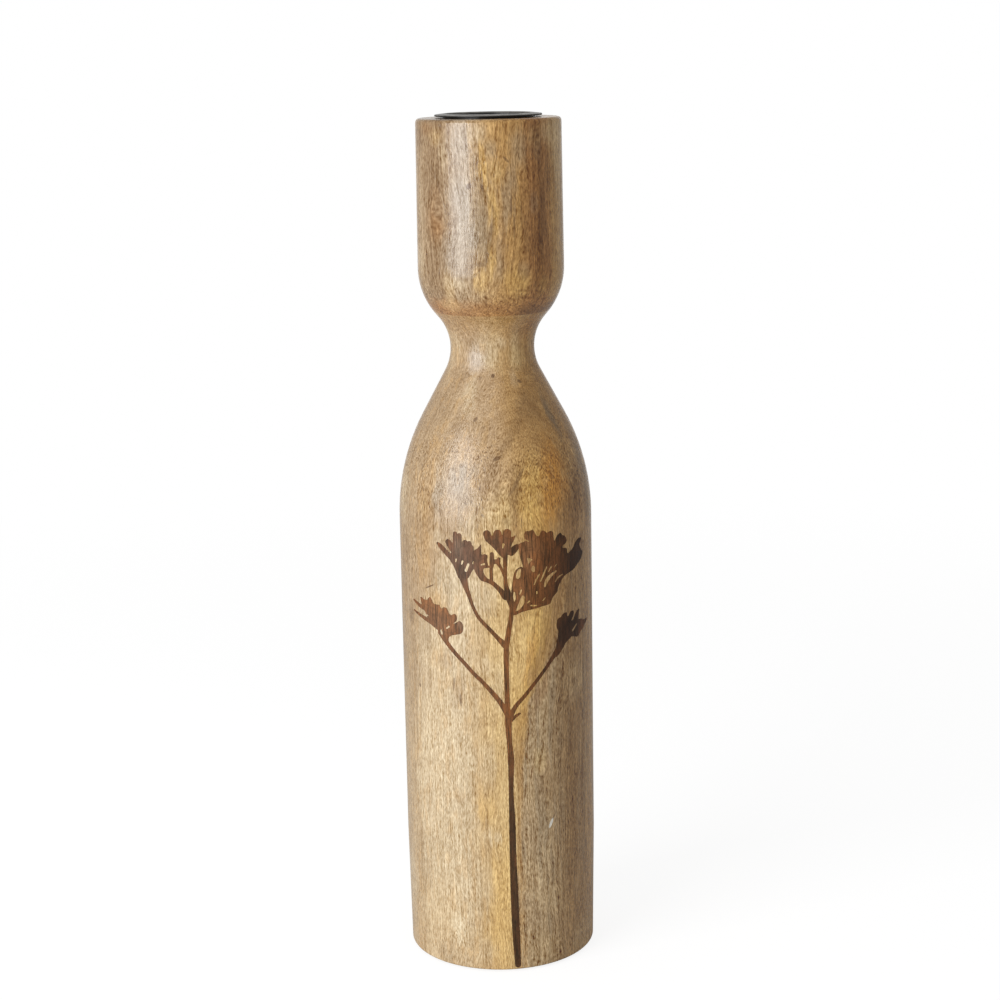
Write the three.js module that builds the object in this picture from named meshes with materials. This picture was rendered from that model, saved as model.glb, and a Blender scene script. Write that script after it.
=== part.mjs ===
// A turned wooden candlestick with a drop-in steel cup for a tea light.
// Millimetres, +Z up. The origin is on the axis, on the surface that the candlestick stands on.
import * as THREE from "three";

// Heights along the axis, from the surface that the candlestick stands on
const TOTAL_HEIGHT = 410; // to the flat top of the wood
const HEAD_CORNER_Z = 327.6; // where the head's side would meet its sloping underside
const JOINT_Z = 319.7; // where the head is glued to the body
const NECK_CORNER_Z = 305; // where the two slopes of the neck would meet
const SHOULDER_CORNER_Z = 246.7; // where the body's side would meet the shoulder's slope
const FOOT_TAPER_Z = 60; // below this the body narrows a little

// Radii of the turned wood
const BODY_RADIUS = 46.7;
const FOOT_TAPER = 0.9; // how much narrower the foot is than the body
const NECK_CORNER_RADIUS = 15.3;
const HEAD_RADIUS = 34.9;
const HEAD_TAPER = 0.6; // how much narrower the head is at its top

// Rounding of the turned corners
const FOOT_FILLET = 1.2;
const SHOULDER_FILLET = 105;
const NECK_FILLET = 23;
const HEAD_FILLET = 34;
const TOP_FILLET = 2;
const RECESS_FILLET = 0.8;

// The dowel that centres and holds the glued joint
const DOWEL_RADIUS = 8;
const DOWEL_LENGTH = 50;
const DOWEL_CHAMFER = 1.5;
const DOWEL_CLEARANCE = 0.15;
const DOWEL_END_GAP = 0.8; // room for glue at each end

// The pressed steel cup
const CUP_INNER_RADIUS = 20; // a tea light is 38 to 39 mm across
const CUP_INNER_DEPTH = 18.6;
const CUP_WALL = 0.8;
const CUP_FLOOR_FILLET = 2;
const FLANGE_RADIUS = 25.3;
const FLANGE_THICKNESS = 0.8;
const FLANGE_DROOP = 0.6; // how much lower the flange is at its edge than at its lip
const FLANGE_EDGE_FILLET = 0.35;
const LIP_FILLET = 1.2;

// How the cup sits in the wood: on the floor of its recess, with its flange a little clear of the top
const CUP_CLEARANCE = 0.4;
const FLANGE_GAP = 0.7;

// Felt pads under the foot
const PAD_COUNT = 3;
const PAD_RADIUS = 7;
const PAD_THICKNESS = 1;
const PAD_INSET = 7; // from the pad's edge to the foot's edge

// Sizes that follow from the ones above
const FOOT_RADIUS = BODY_RADIUS - FOOT_TAPER;
const TOP_RADIUS = HEAD_RADIUS - HEAD_TAPER;
const DOWEL_HOLE_RADIUS = DOWEL_RADIUS + DOWEL_CLEARANCE;
const DOWEL_HOLE_DEPTH = DOWEL_LENGTH / 2 + DOWEL_END_GAP;
const CUP_OUTER_RADIUS = CUP_INNER_RADIUS + CUP_WALL;
const LIP_HEIGHT = FLANGE_THICKNESS + FLANGE_DROOP; // from the flange's edge, underneath, up to the lip
const CUP_OUTER_DEPTH = CUP_INNER_DEPTH + CUP_WALL - LIP_HEIGHT; // below the flange's edge
const RECESS_RADIUS = CUP_OUTER_RADIUS + CUP_CLEARANCE;
const RECESS_FLOOR_Z = TOTAL_HEIGHT + FLANGE_GAP - CUP_OUTER_DEPTH;
const CUP_FLOOR_Z = RECESS_FLOOR_Z + CUP_WALL;
const FLANGE_UNDER_Z = RECESS_FLOOR_Z + CUP_OUTER_DEPTH;
const FLANGE_EDGE_Z = FLANGE_UNDER_Z + FLANGE_THICKNESS;
const LIP_Z = FLANGE_UNDER_Z + LIP_HEIGHT;
const PAD_CIRCLE_RADIUS = FOOT_RADIUS - PAD_INSET - PAD_RADIUS;

// Fineness of the round surfaces
const CHORD_ERROR = 0.05;
const WOOD_SEGMENTS = 72;
const DOWEL_SEGMENTS = 36;
const CUP_SEGMENTS = 64;
const PAD_SEGMENTS = 32;

const bodyWood = new THREE.MeshStandardMaterial({ color: 0xc4a272, roughness: 0.45, metalness: 0 });
const headWood = new THREE.MeshStandardMaterial({ color: 0xb08652, roughness: 0.45, metalness: 0 });
const dowelWood = new THREE.MeshStandardMaterial({ color: 0xd8b988, roughness: 0.7, metalness: 0 });
const blackenedSteel = new THREE.MeshStandardMaterial({ color: 0x35332f, roughness: 0.4, metalness: 0.9 });
const brownFelt = new THREE.MeshStandardMaterial({ color: 0x4a3a2c, roughness: 0.95, metalness: 0 });

// A point of a profile: its radius from the axis and its height
function at(radius, z) {
  return new THREE.Vector2(radius, z);
}

// A corner of a profile: where it is, and the radius that rounds it off
function corner(radius, z, fillet = 0) {
  return { point: at(radius, z), fillet };
}

// The turn at a corner: the directions to its neighbours, the angle, and how far its arc reaches
function turnAt(corners, i) {
  const { point, fillet } = corners[i];
  const back = corners[i - 1].point.clone().sub(point);
  const ahead = corners[i + 1].point.clone().sub(point);
  const room = { back: back.length(), ahead: ahead.length() };
  back.normalize();
  ahead.normalize();
  const half = Math.acos(THREE.MathUtils.clamp(back.dot(ahead), -1, 1)) / 2;
  return { point, fillet, back, ahead, room, half, reach: fillet / Math.tan(half) };
}

// Rounds the inner corners of an open profile, from its first point to its last.
// Two neighbouring arcs that don't fit on the line between them both shrink until they do.
function roundedProfile(corners) {
  const last = corners.length - 1;
  const turns = corners.map((_, i) => (i > 0 && i < last ? turnAt(corners, i) : null));
  const reachOf = (i) => (turns[i] ? turns[i].reach : 0);
  const profile = [corners[0].point];
  for (let i = 1; i < last; i++) {
    const turn = turns[i];
    const shareBack = turn.room.back / Math.max(reachOf(i - 1) + turn.reach, turn.room.back);
    const shareAhead = turn.room.ahead / Math.max(reachOf(i + 1) + turn.reach, turn.room.ahead);
    profile.push(...arcPoints(turn, Math.min(shareBack, shareAhead)));
  }
  profile.push(corners[last].point);
  return profile;
}

// The points of one rounded corner, as many as keep the chords within CHORD_ERROR of the arc
function arcPoints({ point, fillet, back, ahead, half, reach }, share) {
  const radius = fillet * share;
  if (radius === 0) {
    return [point];
  }
  const towardsCentre = back.clone().add(ahead).normalize();
  const centre = point.clone().addScaledVector(towardsCentre, radius / Math.sin(half));
  const start = point.clone().addScaledVector(back, reach * share);
  const sweep = (Math.PI - 2 * half) * Math.sign(ahead.cross(back));
  const finest = 2 * Math.acos(Math.max(1 - CHORD_ERROR / radius, 0));
  const steps = Math.max(2, Math.ceil(Math.abs(sweep) / finest));
  return Array.from({ length: steps + 1 }, (_, i) => start.clone().rotateAround(centre, (sweep * i) / steps));
}

// Cuts a profile in two where it first rises past a height. Both parts hold the point of the cut.
function splitAtHeight(profile, z) {
  const next = profile.findIndex((point) => point.y > z);
  const [low, high] = [profile[next - 1], profile[next]];
  const cut = low.clone().lerp(high, (z - low.y) / (high.y - low.y));
  return { below: [...profile.slice(0, next), cut], above: [cut, ...profile.slice(next)] };
}

// A solid of revolution about +Z, from a profile that starts and ends on the axis
function turned(name, profile, segments, material) {
  const geometry = new THREE.LatheGeometry(profile, segments);
  geometry.rotateX(Math.PI / 2);
  const mesh = new THREE.Mesh(geometry, material);
  mesh.name = name;
  return mesh;
}

// The outline of all the wood, as if it were one piece, from the foot up to the floor of the recess
function woodOutline() {
  return roundedProfile([
    corner(0, PAD_THICKNESS),
    corner(FOOT_RADIUS, PAD_THICKNESS, FOOT_FILLET),
    corner(BODY_RADIUS, FOOT_TAPER_Z),
    corner(BODY_RADIUS, SHOULDER_CORNER_Z, SHOULDER_FILLET),
    corner(NECK_CORNER_RADIUS, NECK_CORNER_Z, NECK_FILLET),
    corner(HEAD_RADIUS, HEAD_CORNER_Z, HEAD_FILLET),
    corner(TOP_RADIUS, TOTAL_HEIGHT, TOP_FILLET),
    corner(RECESS_RADIUS, TOTAL_HEIGHT, RECESS_FILLET),
    corner(RECESS_RADIUS, RECESS_FLOOR_Z),
    corner(0, RECESS_FLOOR_Z),
  ]);
}

// The lower blank: foot, body, shoulder and neck, bored from above for the dowel
function turnedBody() {
  const floorZ = JOINT_Z - DOWEL_HOLE_DEPTH;
  const hole = [at(DOWEL_HOLE_RADIUS, JOINT_Z), at(DOWEL_HOLE_RADIUS, floorZ), at(0, floorZ)];
  const profile = [...splitAtHeight(woodOutline(), JOINT_Z).below, ...hole];
  return turned("turned_body", profile, WOOD_SEGMENTS, bodyWood);
}

// The upper blank: the head, bored from below for the dowel and from above for the cup
function turnedHead() {
  const ceilingZ = JOINT_Z + DOWEL_HOLE_DEPTH;
  const hole = [at(0, ceilingZ), at(DOWEL_HOLE_RADIUS, ceilingZ), at(DOWEL_HOLE_RADIUS, JOINT_Z)];
  const profile = [...hole, ...splitAtHeight(woodOutline(), JOINT_Z).above];
  return turned("turned_head", profile, WOOD_SEGMENTS, headWood);
}

// A plain dowel with chamfered ends, half in each blank
function jointDowel() {
  const [bottomZ, topZ] = [JOINT_Z - DOWEL_LENGTH / 2, JOINT_Z + DOWEL_LENGTH / 2];
  const profile = [
    at(0, bottomZ),
    at(DOWEL_RADIUS - DOWEL_CHAMFER, bottomZ),
    at(DOWEL_RADIUS, bottomZ + DOWEL_CHAMFER),
    at(DOWEL_RADIUS, topZ - DOWEL_CHAMFER),
    at(DOWEL_RADIUS - DOWEL_CHAMFER, topZ),
    at(0, topZ),
  ];
  return turned("joint_dowel", profile, DOWEL_SEGMENTS, dowelWood);
}

// A cup pressed from one sheet, with a flange that droops a little and a rounded lip
function candleCup() {
  const profile = roundedProfile([
    corner(0, RECESS_FLOOR_Z),
    corner(CUP_OUTER_RADIUS, RECESS_FLOOR_Z, CUP_FLOOR_FILLET + CUP_WALL),
    corner(CUP_OUTER_RADIUS, FLANGE_UNDER_Z + FLANGE_DROOP),
    corner(FLANGE_RADIUS, FLANGE_UNDER_Z, FLANGE_EDGE_FILLET),
    corner(FLANGE_RADIUS, FLANGE_EDGE_Z, FLANGE_EDGE_FILLET),
    corner(CUP_INNER_RADIUS, LIP_Z, LIP_FILLET),
    corner(CUP_INNER_RADIUS, CUP_FLOOR_Z, CUP_FLOOR_FILLET),
    corner(0, CUP_FLOOR_Z),
  ]);
  return turned("candle_cup", profile, CUP_SEGMENTS, blackenedSteel);
}

// A self-adhesive felt disc under the foot, so that the wood doesn't scratch a table
function feltPad(number) {
  const profile = [at(0, 0), at(PAD_RADIUS, 0), at(PAD_RADIUS, PAD_THICKNESS), at(0, PAD_THICKNESS)];
  const pad = turned(`felt_pad_${number}`, profile, PAD_SEGMENTS, brownFelt);
  const angle = Math.PI / 2 + (number * 2 * Math.PI) / PAD_COUNT;
  pad.position.set(PAD_CIRCLE_RADIUS * Math.cos(angle), PAD_CIRCLE_RADIUS * Math.sin(angle), 0);
  return pad;
}

const candlestick = new THREE.Group();
candlestick.add(turnedBody(), turnedHead(), jointDowel(), candleCup());
for (let number = 1; number <= PAD_COUNT; number++) {
  candlestick.add(feltPad(number));
}

export default candlestick;
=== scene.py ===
"""Looks of the turned wooden candlestick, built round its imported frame.

Lengths are in metres, and +Z is up.
"""
import math
from contextlib import contextmanager

import bpy
import numpy as np
from bpy.props import FloatProperty, FloatVectorProperty, IntProperty, PointerProperty
from mathutils import Matrix, Vector
from mathutils import noise as hand_noise


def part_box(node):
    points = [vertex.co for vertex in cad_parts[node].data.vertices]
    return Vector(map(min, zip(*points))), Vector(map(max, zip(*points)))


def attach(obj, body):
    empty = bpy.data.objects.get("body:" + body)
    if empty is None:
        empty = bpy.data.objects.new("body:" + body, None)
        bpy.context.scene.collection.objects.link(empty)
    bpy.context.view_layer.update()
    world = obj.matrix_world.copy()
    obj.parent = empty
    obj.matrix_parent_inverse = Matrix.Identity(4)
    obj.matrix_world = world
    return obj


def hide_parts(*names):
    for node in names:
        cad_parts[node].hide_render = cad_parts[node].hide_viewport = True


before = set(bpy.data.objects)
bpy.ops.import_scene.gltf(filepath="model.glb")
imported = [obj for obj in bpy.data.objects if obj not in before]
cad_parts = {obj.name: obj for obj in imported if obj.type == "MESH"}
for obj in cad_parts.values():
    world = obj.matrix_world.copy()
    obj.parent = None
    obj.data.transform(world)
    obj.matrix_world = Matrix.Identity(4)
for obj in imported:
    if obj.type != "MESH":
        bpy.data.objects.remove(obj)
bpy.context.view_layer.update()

bl_info = {
    "name": "Turned candlestick",
    "version": (1, 0, 0),
    "blender": (4, 5, 0),
    "location": "3D View > Sidebar > Candlestick",
    "description": "Builds a turned wooden candlestick with a steel cup and a burnt flower ornament",
    "category": "Add Mesh",
}

MM = 0.001
SAME_PLACE = 0.002 * MM
ROUND_ANGLE = math.radians(35)


def linear(red, green, blue):
    """A colour given as 0 to 255 on a screen, as the linear values that Blender's sockets take."""
    shares = [value / 255 for value in (red, green, blue)]
    return tuple(v / 12.92 if v <= 0.04045 else ((v + 0.055) / 1.055) ** 2.4 for v in shares)


def length(name, millimetres, description):
    """A length property that a user can change, given here in millimetres."""
    return FloatProperty(
        name=name, description=description, default=millimetres * MM, min=0, unit="LENGTH", precision=5
    )


def tint(name, red, green, blue, description):
    """A colour property that a user can change."""
    default = linear(red, green, blue)
    return FloatVectorProperty(
        name=name, description=description, default=default, subtype="COLOR", size=3, min=0, max=1
    )


class CandlestickSizes(bpy.types.PropertyGroup):
    """The sizes that shape the candlestick."""

    total_height: length("Wood height", 410, "From the table to the flat top of the wood")
    joint_height: length("Joint height", 319.7, "Where the head is glued to the body")
    shoulder_height: length("Shoulder height", 246.7, "Where the body's side would meet the shoulder's slope")
    body_radius: length("Body radius", 46.7, "Radius of the body above its foot")
    foot_radius: length("Foot radius", 45.8, "Radius of the body at its foot")
    head_radius: length("Head radius", 34.9, "Radius of the head low on its side")
    top_radius: length("Top radius", 34.3, "Radius of the head at its top")
    recess_radius: length("Recess radius", 21.2, "Radius of the recess that the cup stands in")
    recess_floor: length("Recess floor", 392.7, "Height of the floor of that recess")
    cup_radius: length("Cup radius", 20, "Inside radius of the steel cup")
    cup_wall: length("Cup wall", 0.8, "Thickness of the steel")
    flange_radius: length("Flange radius", 25.3, "Outer radius of the cup's flange")
    flange_under: length("Flange underside", 410.7, "Height of the underside of the flange at its edge")
    flange_thickness: length("Flange thickness", 0.8, "Thickness of the flange")
    flange_droop: length("Flange droop", 0.6, "How much lower the flange is at its edge than at its lip")
    flower_relief: length("Flower relief", 0.045, "How far the burnt flower stands above the wood")
    pad_fuzz: length("Felt fuzz", 0.05, "How uneven the surface of the felt is")
    round_steps: IntProperty(
        name="Round steps", description="Steps round each turned piece", default=256, min=32, max=512
    )


class CandlestickColours(bpy.types.PropertyGroup):
    """The colours of the wood, the steel and the felt."""

    ivory: tint("Ivory", 238, 220, 186, "Palest streaks of the sapwood")
    cream: tint("Cream", 210, 187, 151, "Palest sapwood of the body")
    straw: tint("Straw", 218, 184, 127, "Yellow sapwood beside the heartwood")
    sand: tint("Sand", 202, 170, 122, "Sapwood between cream and straw")
    gold: tint("Gold", 224, 180, 102, "Bright golden wood")
    butter: tint("Butter", 232, 195, 130, "Bright pale yellow wood")
    amber: tint("Amber", 198, 134, 50, "Strong orange figure")
    honey: tint("Honey", 188, 148, 94, "Golden brown wood of the head and neck")
    oat: tint("Oat", 192, 165, 127, "Pinkish wood low on the body's left side")
    tan: tint("Tan", 178, 150, 115, "Brownish wood of the shoulder's left side")
    oak: tint("Oak", 188, 156, 117, "Wood at the front of the shoulder")
    caramel: tint("Caramel", 180, 136, 78, "Brown wood at the right of the shoulder")
    walnut: tint("Walnut", 188, 158, 116, "Heartwood near its border")
    hazel: tint("Hazel", 160, 122, 75, "Darker heartwood at the right side")
    fawn: tint("Fawn", 150, 122, 90, "Brown wood at the left of the head")
    russet: tint("Russet", 146, 100, 50, "Reddish brown streaks of the head")
    umber: tint("Umber", 92, 60, 34, "Dark stains")
    slate: tint("Slate", 112, 100, 84, "Grey smudges")
    rust: tint("Rust", 166, 116, 64, "Reddish end grain under the head")
    pore: tint("Pore", 84, 54, 30, "Open pores of the grain")
    chip: tint("Chip", 236, 230, 216, "Pale chip in the surface")
    # Ash is also a painted highlight: a pale grey laid where the soft light's highlight falls on the
    # shoulder, neck and head
    ash: tint("Ash", 170, 158, 142, "Greyish pale wood")
    drab: tint("Drab", 150, 130, 104, "Greyish brown wood")
    burn: tint("Burn", 115, 69, 35, "Burnt lines of the flower")
    scorch: tint("Scorch", 142, 97, 62, "Lightly burnt, reddish places")
    # Char is also painted shade: it darkens the flower's right side, which faces away from the light
    char: tint("Char", 50, 26, 13, "Darkest burnt places")
    mauve: tint("Mauve", 98, 70, 55, "Greyish burnt places")
    beech: tint("Beech", 214, 182, 138, "The dowel")
    steel: tint("Steel", 26, 25, 24, "Blackened steel of the cup")
    # Worn steel is also a painted reflection: it lightens the top of the flange, where the bright surround is
    # reflected
    worn_steel_and_sheen: tint("Worn steel", 176, 172, 164, "Steel that shows at worn edges")
    felt: tint("Felt", 74, 58, 44, "The pads under the foot")
    felt_fibre: tint("Felt fibre", 112, 92, 72, "Pale fibres of the felt")


def sizes():
    return bpy.context.scene.candlestick_sizes


def colours():
    return bpy.context.scene.candlestick_colours


# Modelling

def deselect():
    """Leaves edit mode and selects nothing, because the frame's nodes come in selected."""
    if bpy.context.object and bpy.context.object.mode != "OBJECT":
        bpy.ops.object.mode_set(mode="OBJECT")
    bpy.ops.object.select_all(action="DESELECT")


def select_only(piece):
    deselect()
    piece.select_set(True)
    bpy.context.view_layer.objects.active = piece


@contextmanager
def editing(choice=None):
    """Edit mode for a while. A choice selects or deselects the whole mesh first."""
    bpy.ops.object.mode_set(mode="EDIT")
    if choice:
        bpy.ops.mesh.select_all(action=choice)
    yield
    bpy.ops.object.mode_set(mode="OBJECT")


def rounded(corners, coarse=5 * MM):
    """The outline through corners (radius, height, fillet), with every fillet as an arc.
    Straight stretches get more points near their ends, so that shading stays even along them."""
    points = [Vector(corner[:2]) for corner in corners]
    stretches = [[points[0]]]
    for before, here, after, corner in zip(points, points[1:], points[2:], corners[1:]):
        fillet = corner[2]
        if fillet == 0:
            stretches.append([here])
            continue
        to_before = (before - here).normalized()
        to_after = (after - here).normalized()
        half = to_before.angle(to_after) / 2
        centre = here + (to_before + to_after).normalized() * fillet / math.sin(half)
        start = here + to_before * fillet / math.tan(half) - centre
        sweep = math.pi - 2 * half
        turn = math.copysign(1, to_after.x * to_before.y - to_after.y * to_before.x)
        steps = max(6, math.ceil(math.degrees(sweep) / 2.5))
        turns = [turn * sweep * k / steps for k in range(steps + 1)]
        stretches.append([centre + Matrix.Rotation(angle, 2) @ start for angle in turns])
    stretches.append([points[-1]])
    line = list(stretches[0])
    for stretch in stretches[1:]:
        start, end = line[-1], stretch[0]
        span = (end - start).length
        support = min(0.25 * MM, span / 4)
        inner = span - 2 * support
        count = max(1, math.ceil(inner / coarse))
        if span > 0.5 * MM:
            line += [start.lerp(end, (support + inner * k / count) / span) for k in range(count + 1)]
        line += stretch
    return line


def cut_at_height(line, height):
    """The part of an outline below a height and the part above it, both with a point on the cut."""
    for index, (low, high) in enumerate(zip(line, line[1:])):
        if low.y < height <= high.y and low.x > 10 * MM:
            crossing = low.lerp(high, (height - low.y) / (high.y - low.y))
            return line[: index + 1] + [crossing], [crossing] + line[index + 1 :]
    raise RuntimeError("the outline doesn't cross the joint's height")


def turned(name, line, steps):
    """A solid of revolution: one vertex is drawn out along the outline, then spun round the axis."""
    deselect()
    bpy.ops.mesh.primitive_plane_add(size=MM)
    piece = bpy.context.object
    piece.name = piece.data.name = name
    with editing("SELECT"):
        bpy.ops.mesh.merge(type="CENTER")
        bpy.ops.transform.translate(value=(line[0].x, 0, line[0].y))
        for here, there in zip(line, line[1:]):
            step = (there.x - here.x, 0, there.y - here.y)
            bpy.ops.mesh.extrude_region_move(TRANSFORM_OT_translate={"value": step})
        bpy.ops.mesh.select_all(action="SELECT")
        bpy.ops.mesh.spin(steps=steps, angle=math.tau, center=(0, 0, 0), axis=(0, 0, 1))
        bpy.ops.mesh.select_all(action="SELECT")
        bpy.ops.mesh.remove_doubles(threshold=SAME_PLACE)
        bpy.ops.mesh.normals_make_consistent(inside=False)
    bpy.ops.object.shade_smooth_by_angle(angle=ROUND_ANGLE)
    return piece


def finish_piece(piece, material, body, slot, *nodes):
    """Gives a finished piece its material and body, and hides the frame nodes that it stands for. slot is not
    used.
    """
    piece.data.materials.clear()
    piece.data.materials.append(material)
    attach(piece, body)
    if nodes:
        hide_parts(*nodes)


def wood_line():
    """The outline of the whole turning, from the middle of the foot to the middle of the recess."""
    s = sizes()
    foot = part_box("turned_body")[0].z
    return rounded([
        (0, foot, 0),
        (s.foot_radius, foot, 1.2 * MM),
        (s.body_radius, 60 * MM, 0),
        (s.body_radius, s.shoulder_height, 105 * MM),
        (15.3 * MM, 305 * MM, 23 * MM),
        (s.head_radius, 327.6 * MM, 34 * MM),
        (s.top_radius, s.total_height, 2 * MM),
        (s.recess_radius, s.total_height, 0.8 * MM),
        (s.recess_radius, s.recess_floor, 0),
        (0, s.recess_floor, 0),
    ])


def dowel_hole():
    """Radius and depth of the two holes for the dowel, a little more than the dowel itself."""
    low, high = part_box("joint_dowel")
    return high.x + 0.15 * MM, (high.z - low.z) / 2 + 0.8 * MM


# Materials

COLOUR = "NodeSocketColor"
NUMBER = "NodeSocketFloat"


class Value:
    """What a node gives out. Sums and products of values add the nodes that work them out."""

    def __init__(self, pattern, socket):
        self.pattern = pattern
        self.socket = socket

    def __add__(self, other):
        return self.pattern.math("ADD", self, other)

    def __sub__(self, other):
        return self.pattern.math("SUBTRACT", self, other)

    def __rsub__(self, other):
        return self.pattern.math("SUBTRACT", other, self)

    def __mul__(self, other):
        return self.pattern.math("MULTIPLY", self, other)

    def __truediv__(self, other):
        return self.pattern.math("DIVIDE", self, other)

    __radd__ = __add__


class Pattern:
    """Adds nodes to a tree and links them, so that a pattern in the code reads as a formula."""

    def __init__(self, tree):
        self.tree = tree

    def node(self, kind, values=(), **settings):
        """Adds a node with its settings and its inputs."""
        node = self.tree.nodes.new(kind)
        for setting, value in settings.items():
            setattr(node, setting, value)
        self.fill(node, values)
        return node

    def fill(self, node, values):
        """Links inputs of a node to values, or writes numbers and colours into them."""
        for key, value in dict(values).items():
            socket = node.inputs[key]
            if isinstance(value, Value):
                self.tree.links.new(value.socket, socket)
            elif hasattr(value, "__len__") and len(socket.default_value) == 4 and len(value) == 3:
                socket.default_value = (*value, 1)
            else:
                socket.default_value = value

    def add(self, kind, values=(), output=0, **settings):
        """Adds a node and gives one of its outputs."""
        return Value(self, self.node(kind, values, **settings).outputs[output])

    def every(self, kind, values=(), **settings):
        """Adds a node and gives all its outputs, by name."""
        outputs = self.node(kind, values, **settings).outputs
        return {socket.name: Value(self, socket) for socket in outputs}

    def math(self, operation, a, b=0.0):
        return self.add("ShaderNodeMath", {0: a, 1: b}, operation=operation)

    def ramp(self, value, low, high, start=0.0, end=1.0):
        """start below low, end above high, and a smooth step between."""
        values = {"Value": value, "From Min": low, "From Max": high, "To Min": start, "To Max": end}
        return self.add("ShaderNodeMapRange", values, interpolation_type="SMOOTHSTEP")

    def fall(self, value, low, high):
        """1 below low, 0 above high, and a smooth step between."""
        return self.ramp(value, low, high, 1.0, 0.0)

    def vector(self, x, y, z):
        return self.add("ShaderNodeCombineXYZ", {0: x, 1: y, 2: z})

    def split(self, vector):
        return tuple(self.every("ShaderNodeSeparateXYZ", {0: vector}).values())

    def move(self, operation, a, b):
        return self.add("ShaderNodeVectorMath", {0: a, 1: b}, operation=operation)

    def mix(self, share, a, b, blend="MIX"):
        values = {0: share, 6: a, 7: b}
        return self.add("ShaderNodeMix", values, 2, data_type="RGBA", blend_type=blend, clamp_factor=True)

    def shade(self, colour, tone):
        """A colour times a grey tone."""
        return self.mix(1.0, colour, self.vector(tone, tone, tone), "MULTIPLY")

    def noise(self, place, grain, offset=0.0, detail=1.0, rough=0.5):
        """Cloudy noise from 0 to 1. grain is the size of its lumps along x, y and z, in millimetres."""
        scaled = self.move("MULTIPLY", place, tuple(1 / g for g in grain))
        shifted = self.move("ADD", scaled, (offset, offset * 1.7, offset * 0.6))
        values = {"Vector": shifted, "Scale": 1.0, "Detail": detail, "Roughness": rough}
        return self.add("ShaderNodeTexNoise", values, "Fac", noise_dimensions="3D")

    def cells(self, place, grain, output="Distance", feature="F1"):
        """Cells of that size round scattered points: how far a point or an edge is, or a colour for each."""
        scaled = self.move("MULTIPLY", place, tuple(1 / g for g in grain))
        return self.add("ShaderNodeTexVoronoi", {"Vector": scaled, "Scale": 1.0}, output, feature=feature)

    def stripes(self, value, stops):
        """Colours side by side along a value, from stops of (value, name of colour)."""
        first, last = stops[0][0], stops[-1][0]
        node = self.node("ShaderNodeValToRGB", {0: (value - first) / (last - first)})
        elements = node.color_ramp.elements
        for index, (at, name) in enumerate(stops):
            spot = (at - first) / (last - first)
            if index == 0:
                element = elements[0]
            elif index == len(stops) - 1:
                element = elements[-1]
            else:
                element = elements.new(spot)
            element.position = spot
            element.color = (*getattr(colours(), name), 1)
        return Value(self, node.outputs[0])

    def place(self):
        """Where a point of the object is, in millimetres."""
        at = self.add("ShaderNodeTexCoord", output="Object")
        return self.move("MULTIPLY", at, (1 / MM, 1 / MM, 1 / MM))

    def from_axis(self, place):
        """How far a point is from the turning axis, in millimetres."""
        x, y, z = self.split(place)
        return self.math("SQRT", x * x + y * y)

    def bump(self, height, depth):
        """A bump of that depth, in millimetres, where height goes from 0 to 1."""
        return self.add("ShaderNodeBump", {"Height": height, "Strength": 1.0, "Distance": depth * MM})


def new_material(name):
    """An empty material, its pattern builder and its Principled shader."""
    material = bpy.data.materials.new(name)
    material.use_nodes = True
    return material, Pattern(material.node_tree), material.node_tree.nodes["Principled BSDF"]


def new_group(name, inputs, outputs):
    """A node group with those inputs and outputs, given as label and kind, and its pattern builder."""
    tree = bpy.data.node_groups.new(name, "ShaderNodeTree")
    for side, sockets in (("INPUT", inputs), ("OUTPUT", outputs)):
        for label, kind in sockets.items():
            tree.interface.new_socket(label, in_out=side, socket_type=kind)
    return tree, Pattern(tree)


# The numbers of a patch in the order in which the tables give them, where an upright patch has no lean

PATCH_LABELS = ("Centre across", "Centre up", "Half width", "Half height", "Strength", "Lean")


def patch_group():
    """A soft leaning ellipse on the unrolled surface, which tints the colour under it."""
    tree = bpy.data.node_groups.get("Soft patch")
    if tree:
        return tree
    inputs = {"Under": COLOUR, "Tint": COLOUR}
    inputs.update(dict.fromkeys(("Across", "Up", "Firm", *PATCH_LABELS), NUMBER))
    tree, pattern = new_group("Soft patch", inputs, {"Colour": COLOUR})
    given = pattern.every("NodeGroupInput")
    up = given["Up"] - given["Centre up"]
    across = given["Across"] - given["Centre across"] - up * given["Lean"]
    wide = pattern.math("POWER", across / given["Half width"], 2.0)
    tall = pattern.math("POWER", up / given["Half height"], 2.0)
    reach = pattern.math("SQRT", wide + tall)
    cover = pattern.math("MINIMUM", pattern.fall(reach, 0.25, 1.25) * given["Firm"], 1.0)
    colour = pattern.mix(cover * given["Strength"], given["Under"], given["Tint"])
    pattern.node("NodeGroupOutput", {"Colour": colour})
    return tree


def paint_patches(pattern, colour, across, up, patches, firm=1.0):
    """Lays patches over a colour. firm sharpens their edges."""
    for name, *numbers in patches:
        values = {"Under": colour, "Tint": getattr(colours(), name), "Across": across, "Up": up, "Firm": firm}
        values.update(zip(PATCH_LABELS, numbers))
        colour = pattern.add("ShaderNodeGroup", values, node_tree=patch_group())
    return colour


def unroll(pattern, place, radius):
    """Distance across the front, along the arc at a radius, and height, all in millimetres."""
    x, y, z = pattern.split(place)
    return pattern.math("ARCTAN2", x, y * -1.0) * (radius / MM), z


def round_knot(pattern, across, up, knot):
    """Bends the lines of the grain round a knot, as a stream bends round a post."""
    knot_across, knot_up, radius = knot
    side = across - knot_across
    rise = up - knot_up
    reach = side * side + rise * rise * 0.6
    share = pattern.math("DIVIDE", radius**2, reach + 1.1 * radius**2)
    return across - side * share


def rolled(pattern, across, radius, place):
    """The place in space that an unrolled distance stands for, so that a pattern has no seam at the back."""
    angle = across / (radius / MM)
    reach = pattern.from_axis(place)
    sideways = reach * pattern.math("SINE", angle)
    forwards = reach * pattern.math("COSINE", angle)
    return pattern.vector(sideways, forwards * -1.0, pattern.split(place)[2])


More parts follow.
